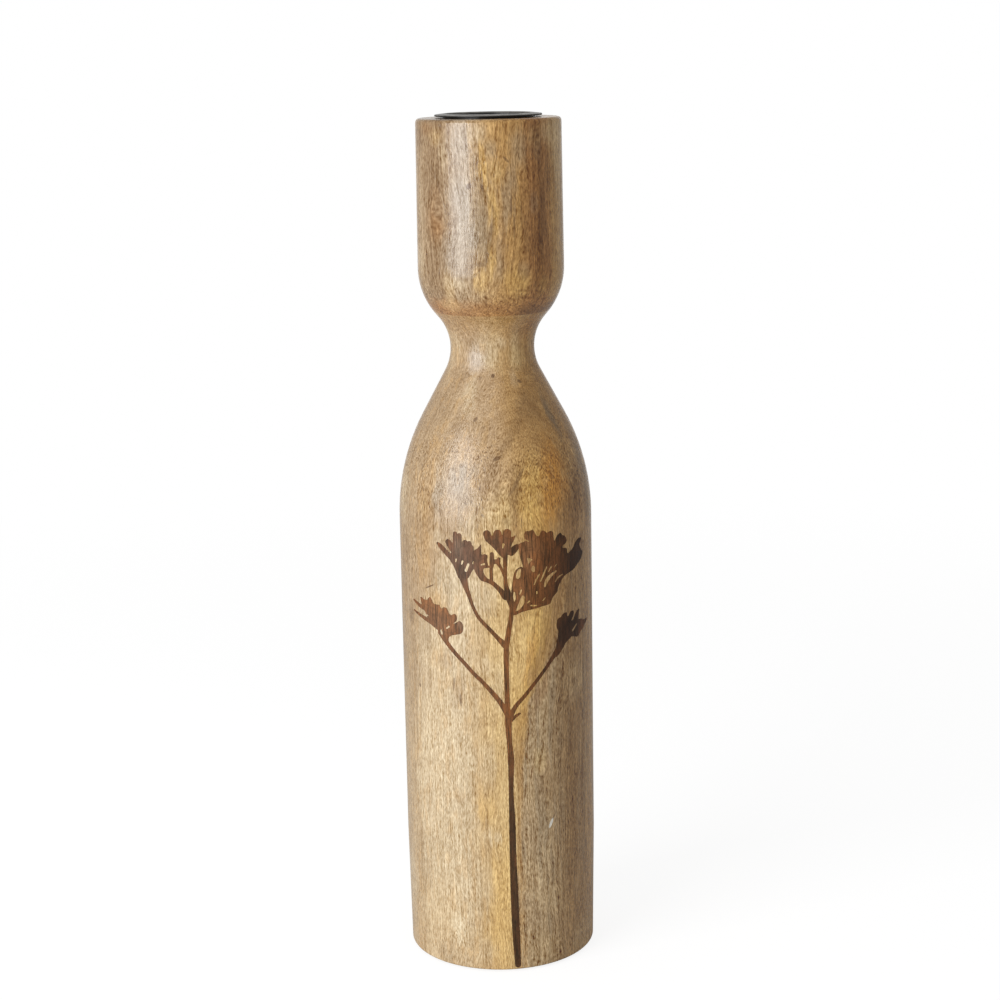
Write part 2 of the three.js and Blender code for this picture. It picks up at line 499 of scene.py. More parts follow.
def grain(pattern, place, facing, offset, width=1.0):
    """Fibres, flecks, growth layers and pores in space, which show as dashes on a side and dots on a slope.
    facing is the way, in degrees from the front, that the growth layers look. width thickens the fibres."""
    drift = pattern.noise(place, (40, 40, 120), offset)
    ripple = pattern.noise(place, (6, 6, 28), offset + 31)
    wander = (drift - 0.5) * 14.0 + (ripple - 0.5) * 5.0
    x, y, z = pattern.split(place)
    x = x + wander
    y = y + wander * 0.6
    sway = pattern.vector(x, y, z)
    sine, cosine = math.sin(math.radians(facing)), math.cos(math.radians(facing))
    layered = pattern.vector(x * sine - y * cosine, x * cosine + y * sine, z)
    pores = pattern.fall(pattern.cells(sway, (0.85, 0.85, 5.5)), 0.10, 0.30)
    crowd = pattern.ramp(pattern.noise(sway, (11, 11, 26), offset + 37), 0.4, 0.62, 0.25, 1.0)
    veins = pattern.noise(sway, (1.7, 1.7, 16), offset + 43, 0.0)
    fibre, line = 0.42 * width, 0.62 * width
    return {
        "seam": pattern.ramp(pattern.math("ABSOLUTE", veins - 0.5), 0.0, 0.035) - 0.35,
        "fibre": pattern.noise(sway, (fibre, fibre, 2.1), offset + 3),
        "line": pattern.noise(sway, (line, line, 30), offset + 13),
        "weave": pattern.noise(sway, (1.2, 1.2, 9), offset + 5),
        "fleck": pattern.noise(sway, (2.4, 2.4, 9), offset + 9),
        "mottle": pattern.noise(sway, (6, 6, 8), offset + 17, 2.0, 0.55),
        "streak": pattern.noise(sway, (3.2, 3.2, 60), offset + 7, 2.0, 0.6),
        "layer": pattern.noise(layered, (2.6, 16, 110), offset + 11, 2.0, 0.55),
        "ring": pattern.noise(layered, (0.9, 14, 90), offset + 29),
        "cloud": pattern.noise(sway, (22, 22, 70), offset + 23, 2.0),
        "pores": pores * crowd,
    }


# How much each part of the grain lightens and darkens the wood

BODY_GRAIN = {
    "seam": 0.11, "fibre": 1.85, "line": 1.25, "weave": 0.29, "fleck": 0.34, "mottle": 0.30, "streak": 0.33,
    "layer": 0.31, "ring": 0.28,
}
HEAD_GRAIN = {
    "seam": 0.20, "fibre": 2.2, "line": 1.5, "weave": 0.38, "fleck": 0.32, "mottle": 0.34, "streak": 0.46,
    "layer": 0.44, "ring": 0.42,
}

# What is added to the body's shares on the shoulder, where the fibres are cut across and the layers show

SHOULDER_GRAIN = {
    "ring": 0.40, "layer": 0.22, "fibre": 0.55, "line": -0.85, "weave": -0.18, "fleck": -0.15, "seam": -0.11,
}


# How strongly the grain changes red, green and blue

GRAIN_TINT = (0.78, 0.97, 1.25)


def grain_change(wood, shares):
    """How much the grain lightens the wood at a point, or darkens it where it is below zero."""
    return sum((wood[name] - 0.5) * share for name, share in shares.items())


def shade_by_grain(pattern, colour, wood, change, pores):
    """Darkens and lightens a colour by the grain, blue the most, and sinks the pores into it."""
    values = {0: change, 1: GRAIN_TINT, 2: (1, 1, 1)}
    light = pattern.add("ShaderNodeVectorMath", values, operation="MULTIPLY_ADD")
    colour = pattern.mix(1.0, colour, light, "MULTIPLY")
    return pattern.mix(wood["pores"] * pores, colour, colours().pore)


def surface_height(wood):
    """The fine relief of the wood: raised fibres and sunk pores, from 0 to 1."""
    return wood["fibre"] * 0.4 + wood["line"] * 0.4 + wood["weave"] * 0.5 - wood["pores"] * 0.35


# Stripes of colour from left to right, as (millimetres across the front, colour)

BODY_STRIPES = (
    (-75, "oat"), (-47, "oat"), (-43.5, "cream"), (-17, "cream"), (-8, "sand"), (1, "straw"),
    (6, "straw"), (9, "honey"), (40, "honey"), (110, "tan"),
)
HEART_STRIPES = (
    (8, "honey"), (12, "walnut"), (22, "walnut"), (38, "hazel"), (50, "hazel"), (60, "caramel"),
)
SHOULDER_STRIPES = (
    (-75, "tan"), (-22, "tan"), (0, "oak"), (12, "honey"), (30, "caramel"), (75, "caramel"), (110, "tan"),
)
NECK_STRIPES = (
    (-50, "oat"), (-34, "tan"), (-18, "tan"), (-8, "oat"), (2, "sand"), (16, "honey"), (24, "sand"),
    (40, "caramel"), (110, "tan"),
)
HEAD_STRIPES = (
    (-60, "tan"), (-40, "tan"), (-33, "fawn"), (-24, "fawn"), (-12, "tan"), (0, "honey"), (8, "caramel"),
    (14, "caramel"), (20, "rust"), (26, "russet"), (30, "rust"), (35, "caramel"), (42, "honey"),
    (70, "tan"),
)

# Soft patches of colour, as (colour, across, up, half width, half height, strength, and lean where they lean)

BODY_PATCHES = (
    ("sand", -26, 18, 40, 30, 0.35),
    ("tan", -26, 8, 16, 12, 0.35),
    ("cream", -8, 8, 7, 10, 0.35),
    ("cream", -13, 40, 11, 24, 0.5),
    ("cream", -62, 36, 10, 20, 0.6),
    ("gold", 1, 34, 7, 44, 0.45),
    ("fawn", -52, 142, 12, 34, 0.3),
    ("tan", -42, 145, 12, 9, 0.3),
    ("tan", -19, 144, 3.5, 9, 0.6),
    ("cream", 0, 146, 4, 14, 0.4),
    ("gold", 15, 158, 9, 44, 0.95, 0.14),
    ("butter", 10.5, 160, 6.5, 28, 0.85, 0.1),
    ("amber", 16, 160, 2.4, 18, 0.35, 0.17),
    ("russet", 22, 164, 3.4, 22, 0.5, 0.28),
    ("gold", 23.5, 172, 3, 11, 0.4, 0.25),
    ("caramel", 30, 174, 4, 14, 0.4, 0.2),
    ("russet", 32, 192, 5, 18, 0.35, 0.1),
    ("caramel", 13, 131, 5, 8, 0.45),
    ("butter", 9.5, 196, 3.5, 14, 0.5),
    ("gold", 20, 234, 11, 24, 0.85),
    ("amber", 30, 240, 9, 27, 0.75, 0.2),
    ("cream", -18, 196, 13, 18, 0.7),
    ("cream", -7, 190, 8, 12, 0.7),
    ("cream", -7, 225, 11, 14, 0.3),
    ("cream", -60, 234, 9, 16, 0.6),
    ("tan", -18, 231, 5, 13, 0.5),
    ("straw", 9.5, 208, 3, 10, 0.6),
    ("caramel", -37, 222, 5, 40, 0.3, 0.05),
    ("honey", -30, 184, 8, 9, 0.6),
    # Painted highlight: pale grey where the soft light's highlight falls on the shoulder
    ("ash", -19, 245, 7, 9, 0.5),
    ("hazel", 41, 226, 9, 20, 0.7, 0.2),
    ("russet", 41, 226, 10, 18, 0.5, 0.15),
    ("umber", 48, 234, 8, 16, 0.5, 0.2),
    ("russet", 52, 218, 10, 20, 0.35, 0.1),
    ("umber", 9.5, 236, 3.2, 15, 0.28, 0.1),
    ("umber", 1, 241, 4, 7, 0.18, 0.3),
    ("umber", 10, 250, 5, 6, 0.15, 0.5),
    ("fawn", -16, 261, 12, 5, 0.12),
    ("honey", -13, 259, 6, 4, 0.25),
    ("drab", -15, 249, 7, 4.5, 0.5),
    ("fawn", -46, 276, 10, 9, 0.3),
    # Partly paler wood, partly painted highlight where the shoulder's highlight runs up to the neck
    ("cream", -19, 282, 7, 10, 0.6),
    ("straw", 28, 299, 14, 7, 0.5),
    # Partly paler wood, partly painted highlight on the neck
    ("cream", -2, 300, 10, 7, 0.55),
    # Painted highlight: pale grey where the highlight falls on the neck
    ("ash", -18, 300, 12, 8, 0.35),
    ("fawn", -30, 290, 6, 4, 0.5),
    ("slate", 60, 242, 8, 32, 0.55),
    ("umber", 57, 238, 6, 16, 0.3),
    ("russet", 54, 240, 6, 14, 0.3),
    ("umber", 8, 262, 5, 26, 0.22, 0.75),
    ("umber", 26, 277, 12, 9, 0.32),
    ("slate", 44, 271, 4, 12, 0.6, -0.15),
    ("russet", 36, 314, 20, 7, 0.5),
    ("russet", -50, 315, 8, 5, 0.35),
    ("sand", -38, 231, 4, 8, 0.25),
    ("fawn", -46, 219, 5, 8, 0.3),
    ("fawn", -46, 156, 9, 26, 0.25),
    ("fawn", -43, 58, 9, 15, 0.17),
    ("ivory", -46, 92, 5, 9, 0.3),
    ("ivory", -46, 26, 5, 6, 0.1),
    ("fawn", -38, 172, 7, 14, 0.45),
    ("drab", -30, 236, 5, 6, 0.25),
    ("ivory", -30, 216, 5, 6, 0.25),
    ("drab", -25, 196, 9, 7, 0.36),
    ("honey", -30, 157, 6, 8, 0.32),
    ("ivory", -22, 21, 5, 10, 0.55),
    ("drab", -14, 230, 6, 12, 0.3),
    ("ivory", -14, 107, 4, 6, 0.35),
    ("fawn", -14, 20, 4, 10, 0.15),
    ("ivory", -6, 108, 5.5, 12, 0.3),
    ("gold", -6, 84, 4.5, 9, 0.32),
    ("ivory", -5, 70, 3.5, 6, 0.4),
    ("gold", -5, 25, 4.5, 13, 0.3),
    ("ivory", -6, 156, 4, 7, 0.35),
    ("honey", -6, 3, 10, 5, 0.3),
    ("russet", 47, 222, 8, 26, 0.25),
    ("fawn", -36, 288, 5, 12, 0.22),
    ("cream", -44, 305, 5, 5, 0.3),
    ("cream", 8, 306, 8, 4, 0.4),
    ("cream", -53, 290, 4, 6, 0.35),
    ("cream", 20, 290, 5, 5, 0.3),
    ("amber", 40, 312, 16, 9, 0.2),
    ("russet", 44, 311, 14, 8, 0.15),
    ("fawn", -25, 158, 4.5, 6.5, 0.5),
    ("umber", -50.5, 175.5, 4, 6, 0.3),
    ("russet", 18, 149, 2.2, 9, 0.45, 0.1),
    ("honey", 2.6, 180, 1.8, 9, 0.4),
    ("fawn", -21, 137, 4, 7, 0.3),
    ("fawn", -38, 146, 4, 7, 0.15),
    ("fawn", -41, 45, 3, 10, 0.3),
    ("fawn", -38, 87, 4, 13, 0.2),
    ("fawn", -22, 87, 4, 6, 0.22),
    # Painted highlight: pale grey where the shoulder's highlight runs down its left side
    ("ash", -30, 238, 5, 14, 0.3),
    ("drab", -15, 238, 9, 8, 0.22),
    ("umber", 4.5, 225, 2.2, 5, 0.28),
    ("amber", 38, 238, 5, 8, 0.25),
    ("drab", -23, 186, 4, 6, 0.3),
    ("drab", -30, 6, 6, 6, 0.3),
)
HEART_PATCHES = (
    ("sand", 50, 8, 16, 12, 0.4),
    ("sand", 23, 9, 11, 10, 0.4),
    ("sand", 28, 36, 7, 11, 0.3),
    ("fawn", 15, 70, 7, 16, 0.3),
    ("fawn", 16, 27, 5, 8, 0.3),
    ("hazel", 24, 97, 5, 16, 0.4),
    ("hazel", 33, 106, 4, 7, 0.3),
    ("fawn", 41, 137, 4, 6, 0.3),
    ("russet", 31, 183, 5, 14, 0.4),
    ("russet", 23, 148, 3, 22, 0.5, 0.33),
    ("hazel", 39, 136, 7, 6, 0.45),
    ("umber", 42.5, 137.5, 4.5, 5, 0.2, 0.3),
    ("butter", 20, 107, 3.5, 8, 0.3),
    ("fawn", 47, 56, 5, 8, 0.3),
    ("fawn", 12, 36, 4, 6, 0.4),
    ("sand", 42, 144, 11, 12, 0.35),
)
HEAD_PATCHES = (
    ("drab", -8, 362, 18, 44, 0.4),
    ("fawn", -44, 404, 9, 9, 0.7),
    ("fawn", -44, 328, 8, 6, 0.5),
    ("cream", -44, 345, 5.5, 10, 0.4),
    ("cream", -44, 367, 5, 10, 0.2),
    ("rust", -28, 366, 8, 14, 0.45),
    ("russet", -27, 371, 5.5, 5, 0.4),
    ("drab", -25, 370, 8, 8, 0.45),
    ("sand", -28, 402, 5, 5, 0.5),
    ("cream", -22, 394, 3, 9, 0.3),
    ("russet", -35, 406, 5, 4, 0.35),
    # These two are partly paler wood, partly painted highlight low on the head's highlight
    ("sand", -21, 331, 4.5, 12, 0.5),
    ("cream", -18, 335.5, 7, 3.5, 0.45),
    ("fawn", -18, 328, 5, 3, 0.3),
    # These three are a painted highlight: pale grey down the head's highlight
    ("ash", -16, 350, 9, 14, 0.3, 0.1),
    ("ash", -14, 372, 6, 18, 0.5),
    ("ash", -14, 400, 6, 12, 0.4),
    ("gold", 3, 386, 4, 6, 0.35),
    ("sand", 3, 387, 3, 5, 0.4),
    ("drab", 1, 397, 3.5, 5, 0.4),
    ("drab", -4, 360, 4.5, 16, 0.55, -0.15),
    ("drab", 8, 372, 3, 16, 0.5),
    ("fawn", 4, 342, 6, 8, 0.35),
    ("drab", 14, 397, 6, 11, 0.45),
    ("gold", -3.5, 389, 2, 14, 0.55, -0.05),
    ("gold", 1.6, 368, 2.6, 14, 0.5, -0.12),
    ("gold", 0.4, 346, 2.6, 10, 0.45),
    ("drab", 4.4, 350, 2.4, 13, 0.35),
    ("gold", -4.5, 337, 4, 7, 0.35),
    ("gold", 13, 336, 9, 8, 0.35),
    ("umber", 21, 350, 2, 20, 0.2),
    ("umber", 27.5, 364, 3, 24, 0.45),
    ("slate", 24, 397, 3.5, 10, 0.25, -0.2),
    ("umber", 31, 384, 3, 13, 0.25),
    ("sand", 38, 404, 13, 8, 0.7),
    ("sand", 43, 384, 6, 18, 0.4),
    ("fawn", -39, 399, 4, 8, 0.4),
    ("cream", -6, 404, 6, 5, 0.45),
    ("honey", 22, 402, 4, 6, 0.35),
    ("sand", 42, 396, 9, 13, 0.45),
    ("drab", 11, 384, 3.5, 8, 0.35),
    ("fawn", -29, 372, 8, 6, 0.3),
    ("fawn", -19, 367, 4.5, 12, 0.6),
    # Painted highlight: pale grey where the head's highlight is wider
    ("ash", -8.5, 357, 3, 8, 0.45),
    ("fawn", -9.5, 344, 4, 8, 0.4),
    ("russet", 4.8, 355, 4.5, 14, 0.2),
    ("fawn", 16, 341, 3.5, 5, 0.4),
    ("drab", 21, 372, 3, 6, 0.3),
    ("gold", 28, 333, 5, 6, 0.2),
    ("umber", 17.5, 358, 2.2, 13, 0.22),
    ("fawn", -9, 380, 3, 6, 0.45),
    ("fawn", 11, 382, 3, 9, 0.3),
)
UNDER_HEAD_PATCHES = (
    ("umber", 22, 321.6, 9, 4.5, 0.5),
    ("umber", 40, 321.5, 14, 4, 0.4),
    ("sand", -22, 325, 7, 4, 0.4),
)

# Small marks with firm edges, in the same form

BODY_MARKS = (
    ("umber", -35, 192.4, 0.8, 1.4, 0.8, 2),
    ("umber", -18.5, 138.5, 0.6, 3.2, 0.55),
    ("umber", -22, 146, 0.6, 3.4, 0.5, 0.1),
    ("umber", 1.6, 255, 1.8, 1.2, 0.55, 0.9),
    ("umber", -12, 272, 1.3, 1.1, 0.6, 0.8),
    ("umber", 0, 291, 1.6, 0.9, 0.75),
    ("umber", 25, 288, 2, 0.9, 0.6, -1),
    ("umber", -12, 290, 1.4, 0.8, 0.4, 0.5),
    ("umber", 11, 244, 1.2, 6.5, 0.4, 0.67),
    ("umber", -44, 141.5, 0.7, 0.9, 0.7),
    ("umber", 26.7, 76.4, 0.5, 2.4, 0.6, 0.42),
    ("chip", 25.6, 74.6, 0.8, 2.3, 1, 0.42),
)
HEAD_MARKS = (
    ("umber", -2.6, 374, 1, 9, 0.28, -0.5),
    ("umber", -2, 356, 1.2, 12, 0.32, 0.2),
    ("umber", -11.9, 380.2, 1.2, 1.5, 0.65, 0.4),
    ("umber", -6.5, 344.5, 2.4, 1, 0.35),
    ("umber", 8.5, 371, 0.45, 5.5, 0.6),
    ("umber", 9.8, 361, 0.4, 6, 0.45),
    ("umber", 6.6, 392, 0.8, 1.4, 0.6, -0.8),
    ("umber", 13.6, 367, 0.4, 7, 0.35),
    ("umber", 23.6, 360, 0.5, 8, 0.5),
)

# The knot in the head, as (across, up, radius)

HEAD_KNOT = (-27, 366, 8)

# Where one look passes into another, in millimetres. The face under the foot ends at a distance from the axis
# and at a height, and the rest are heights.

FOOT_FACE_EDGE = (43.5, 45)
FOOT_FACE_TOP = (1, 2)
HEARTWOOD_FADES = (196, 226)
SHOULDER_STARTS = (228, 254)
SHOULDER_ARCS_START = (222, 250)
SHOULDER_ARCS_END = (285, 300)
PORES_START = (216, 236)
PORES_END = (252, 270)
NECK_STARTS = (291, 301)
NECK_BROWNS = (305, 321)
UNDER_HEAD = (323, 330)
# The top of the flange, which is lighter: partly wear, partly a painted reflection
WORN_AND_SHEEN_FLANGE = (411.2, 411.5)

# How much the strength of the body's grain changes with height, as (from, to, factor)

GRAIN_STEPS = ((216, 236, 1.25), (250, 266, 0.68), (288, 300, 1.18))

# The border of the heartwood on the body, as (height, millimetres across)

HEARTWOOD_EDGE = (
    (0, 8.7), (90, 7.8), (112, 9.8), (125, 12), (138, 15), (158, 24), (172, 30), (215, 39), (320, 42),
)


def heartwood_edge(pattern, up):
    """How far to the right the border of the heartwood is at a height, as a flowing curve."""
    top, reach = HEARTWOOD_EDGE[-1][0], 100
    node = pattern.node("ShaderNodeFloatCurve", {"Factor": 1.0, "Value": up / top})
    curve = node.mapping.curves[0]
    first, *middle, last = [(height / top, edge / reach) for height, edge in HEARTWOOD_EDGE]
    curve.points[0].location = first
    for spot in middle:
        curve.points.new(*spot)
    curve.points[-1].location = last
    node.mapping.update()
    return Value(pattern, node.outputs[0]) * reach


def body_colour_group():
    """Colour, relief and gloss of the body's wood, shared by the plain and the burnt wood."""
    tree, pattern = new_group("Body wood", {}, {"Colour": COLOUR, "Height": NUMBER, "Grain": NUMBER})
    c = colours()
    place = pattern.place()
    across, up = unroll(pattern, place, sizes().body_radius)
    wood = grain(pattern, place, facing=22, offset=0)
    streak = wood["streak"]
    soft_across = across + (streak - 0.5) * 9.0 + (wood["mottle"] - 0.5) * 5.0
    soft_up = up + (wood["cloud"] - 0.5) * 40.0
    foot_face = pattern.fall(pattern.from_axis(place), *FOOT_FACE_EDGE) * pattern.fall(up, *FOOT_FACE_TOP)
    heart = pattern.ramp(soft_across - heartwood_edge(pattern, up), -0.5, 3.0)
    heart = heart * pattern.fall(across, 95.0, 120.0) * (1.0 - foot_face)

    slanted = soft_up - pattern.math("MINIMUM", across, 0.0) * 1.5
    side = pattern.stripes(soft_across, BODY_STRIPES)
    shoulder = pattern.stripes(across, SHOULDER_STRIPES)
    neck = pattern.stripes(soft_across, NECK_STRIPES)
    colour = pattern.mix(pattern.ramp(slanted, *SHOULDER_STARTS), side, shoulder)
    colour = pattern.mix(pattern.ramp(soft_up, *NECK_STARTS), colour, neck)
    colour = pattern.mix(pattern.ramp(up, *NECK_BROWNS, 0.0, 0.55), colour, c.caramel)
    colour = paint_patches(pattern, colour, soft_across, up, BODY_PATCHES)
    golden = pattern.ramp(wood["fleck"] + streak * 0.8, 0.92, 1.12, 0.0, 0.35)
    colour = pattern.mix(golden, colour, c.honey)

    heartwood = pattern.stripes(soft_across, HEART_STRIPES)
    heartwood = pattern.mix(pattern.ramp(streak, 0.48, 0.68, 0.0, 0.3), heartwood, c.slate)
    heartwood = paint_patches(pattern, heartwood, soft_across, up, HEART_PATCHES)
    colour = pattern.mix(heart * pattern.ramp(up, *HEARTWOOD_FADES, 1.0, 0.2), colour, heartwood)
    end_grain = pattern.mix(pattern.ramp(wood["layer"], 0.35, 0.65), c.oat, c.honey)
    colour = pattern.mix(foot_face, colour, end_grain)

    arcs = pattern.ramp(up, *SHOULDER_ARCS_START) * pattern.fall(up, *SHOULDER_ARCS_END)
    change = grain_change(wood, BODY_GRAIN) * pattern.ramp(heart, 0.0, 1.0, 1.0, 1.5)
    change = change + grain_change(wood, SHOULDER_GRAIN) * arcs
    for low, high, factor in GRAIN_STEPS:
        change = change * pattern.ramp(up, low, high, 1.0, factor)
    belt = pattern.ramp(up, *PORES_START) * pattern.fall(up, *PORES_END)
    colour = shade_by_grain(pattern, colour, wood, change, pattern.ramp(belt, 0.0, 1.0, 0.36, 0.95))
    colour = paint_patches(pattern, colour, across, up, BODY_MARKS, firm=3.0)
    values = {"Colour": colour, "Height": surface_height(wood), "Grain": wood["weave"]}
    pattern.node("NodeGroupOutput", values)
    return tree


def body_group_outputs(pattern):
    """Colour, Height and Grain of the body's wood, from the group that its materials share."""
    tree = bpy.data.node_groups.get("Body wood") or body_colour_group()
    return pattern.every("ShaderNodeGroup", node_tree=tree)


def lacquer(pattern, share, smooth, rough, shine=0.6):
    """What the shader takes for a satin lacquer, whose roughness follows the grain."""
    roughness = pattern.ramp(share, 0.3, 0.7, smooth, rough)
    return {"Roughness": roughness, "IOR": 1.5, "Specular IOR Level": shine}


def body_wood():
    """The body's wood away from the flower."""
    material, pattern, shader = new_material("body_wood")
    wood = body_group_outputs(pattern)
    pattern.fill(shader, lacquer(pattern, wood["Grain"], 0.20, 0.32))
    pattern.fill(shader, {"Base Color": wood["Colour"], "Normal": pattern.bump(wood["Height"], 0.13)})
    return material


# Where the burnt flower is redder, greyer or darker, in the form of the other patches

BURNT_PATCHES = (
    ("scorch", -33, 177, 13, 13, 0.95),
    ("scorch", 15, 210, 6.5, 12, 0.9),
    ("scorch", 12, 192, 6, 9, 0.45),
    ("mauve", -15, 208, 14, 16, 0.85),
    ("mauve", 1, 214, 7, 10, 0.55),
    ("mauve", -34, 176, 9, 9, 0.4),
    ("char", 6, 84, 5, 24, 0.65),
    ("char", -12, 152, 6, 26, 0.2, -0.85),
    ("char", -6, 180, 6, 20, 0.22, -0.6),
    # These five are partly darker burning, partly painted shade on the flower's right side, away from the
    # light
    ("char", 26, 188, 6, 6, 0.3),
    ("char", 46, 205, 17, 40, 1),
    ("char", 32, 219, 4, 6, 1),
    ("char", 33, 190, 7, 7, 0.9),
    ("char", 38, 168, 16, 15, 0.95),
    ("char", 6.5, 32, 7, 86, 0.88),
    ("char", 4.5, 191, 3.5, 5, 0.85),
    ("char", 8.5, 213, 3, 4, 0.9),
    # Painted highlight: a grey streak where the soft light's highlight crosses the burnt flower
    ("slate", -18.5, 214, 2.5, 7, 0.3),
    ("char", -17, 200, 4, 9, 0.45),
    # Painted highlight: a grey streak where the soft light's highlight crosses the burnt flower
    ("slate", -18, 176, 2, 4, 0.3),
    # Partly darker burning, partly painted shade on the flower's right side
    ("char", 23, 153, 10, 10, 0.6),
)


def burnt_wood():
    """The body's wood with the flower burnt into it: petals with dark lines between them, and dark edges."""
    material, pattern, shader = new_material("burnt_wood")
    wood = body_group_outputs(pattern)
    place = pattern.place()
    across, up = unroll(pattern, place, sizes().body_radius)
    fine = pattern.noise(place, (0.5, 0.5, 8), 51, 2.0, 0.6)
    broad = pattern.noise(place, (3.5, 3.5, 16), 57, 2.0)
    burn = paint_patches(pattern, colours().burn, across + (broad - 0.5) * 12.0, up, BURNT_PATCHES)

    warp = (pattern.noise(place, (2, 2, 3), 63) - 0.5) * 2.5
    flat = pattern.vector(across + warp, 0.0, up)
    petal_size = (3, 1, 5)
    between = pattern.ramp(pattern.cells(flat, petal_size, feature="DISTANCE_TO_EDGE"), 0.0, 0.10, 0.26, 0.0)
    petal = pattern.split(pattern.cells(flat, petal_size, "Color"))[0]
    normals = {
        0: pattern.add("ShaderNodeBevel", {"Radius": 0.40 * MM}, samples=6),
        1: pattern.add("ShaderNodeNewGeometry", output="Normal"),
    }
    level = pattern.add("ShaderNodeVectorMath", normals, "Value", operation="DOT_PRODUCT")
    edge = pattern.ramp(level, 0.80, 0.99, 0.55, 0.0)

    change = (fine - 0.5) * 4.0 + (broad - 0.5) * 1.2 + (petal - 0.5) * 0.2
    tone = (change + 1.05) * (1.0 - pattern.math("MAXIMUM", between, edge))
    burn = pattern.shade(burn, pattern.math("MAXIMUM", tone, 0.25))
    colour = pattern.mix(0.05, burn, wood["Colour"])
    pattern.fill(shader, lacquer(pattern, wood["Grain"], 0.40, 0.52, 0.26))
    pattern.fill(shader, {"Base Color": colour, "Normal": pattern.bump(wood["Height"], 0.10)})
    return material


def head_wood():
    """Golden brown wood with a knot at its left, dark streaks at its right and end grain under it."""
    material, pattern, shader = new_material("head_wood")
    radius = sizes().head_radius
    place = pattern.place()
    across, up = unroll(pattern, place, radius)
    bent = round_knot(pattern, across, up, HEAD_KNOT)
    wood = grain(pattern, rolled(pattern, bent, radius, place), facing=12, offset=40, width=1.3)
    mottle = wood["mottle"] - 0.5
    soft_across = across + (wood["streak"] - 0.5) * 9.0 + mottle * 4.0
    colour = pattern.stripes(soft_across, HEAD_STRIPES)
    colour = paint_patches(pattern, colour, soft_across, up, HEAD_PATCHES)
    under = pattern.ramp(up + mottle * 8.0, *UNDER_HEAD, 0.75, 0.0)
    colour = pattern.mix(under, colour, colours().rust)
    colour = paint_patches(pattern, colour, soft_across, up, UNDER_HEAD_PATCHES)
    colour = shade_by_grain(pattern, colour, wood, grain_change(wood, HEAD_GRAIN), 0.5)
    colour = paint_patches(pattern, colour, bent, up, HEAD_MARKS, firm=3.0)
    pattern.fill(shader, lacquer(pattern, wood["weave"], 0.19, 0.30))
    pattern.fill(shader, {"Base Color": colour, "Normal": pattern.bump(surface_height(wood), 0.13)})
    return material


def dowel_wood():
    """Plain unfinished beech, with short dark flecks."""
    material, pattern, shader = new_material("dowel_wood")
    wood = grain(pattern, pattern.place(), facing=0, offset=80)
    change = grain_change(wood, BODY_GRAIN) * 0.6
    pattern.fill(shader, {
        "Base Color": shade_by_grain(pattern, colours().beech, wood, change, 0.35),
        "Roughness": pattern.ramp(wood["fibre"], 0.3, 0.7, 0.6, 0.75),
        "Normal": pattern.bump(wood["fibre"], 0.05),
    })
    return material


def blackened_steel():
    """Satin black on pressed steel; the flange's top is lighter, partly worn, partly a painted reflection."""
    material, pattern, shader = new_material("blackened_steel")
    place = pattern.place()
    x, y, z = pattern.split(place)
    round_axis = pattern.vector(pattern.from_axis(place), pattern.math("ARCTAN2", x, y), z)
    scratches = pattern.noise(round_axis, (0.25, 0.8, 0.6), 0.0, 3.0, 0.6)
    patina = pattern.noise(place, (6, 6, 6), 5, 4.0, 0.6)
    # Painted reflection and wear: the top of the flange is lighter and more metallic
    wear_and_sheen = pattern.ramp(z, *WORN_AND_SHEEN_FLANGE) * pattern.ramp(patina, 0.40, 0.62, 0.55, 1.0)
    wear_and_sheen = wear_and_sheen * pattern.ramp(scratches, 0.35, 0.65, 0.55, 1.0)
    pattern.fill(shader, {
        "Base Color": pattern.mix(wear_and_sheen, colours().steel, colours().worn_steel_and_sheen),
        "Metallic": wear_and_sheen * 0.8,
        "Roughness": pattern.ramp(scratches, 0.3, 0.7, 0.3, 0.45),
        "Normal": pattern.bump(patina, 0.03),
    })
    return material


def pressed_felt():
    """Brown felt with short pale fibres."""
    material, pattern, shader = new_material("pressed_felt")
    place = pattern.place()
    fibres = pattern.noise(place, (0.5, 0.5, 0.5), 2, 4.0, 0.7)
    clumps = pattern.noise(place, (2.5, 2.5, 2.5), 9, 2.0)
    base = pattern.mix(pattern.ramp(fibres, 0.3, 0.7), colours().felt, colours().felt_fibre)
    pattern.fill(shader, {
        "Base Color": pattern.shade(base, pattern.ramp(clumps, 0.3, 0.7, 0.8, 1.15)),
        "Roughness": 0.95,
        "Sheen Weight": 0.3,
        "Normal": pattern.bump(fibres, 0.2),
    })
    return material


# The flower, drawn flat: each stroke is a line of (across, up, width), in millimetres, with round ends

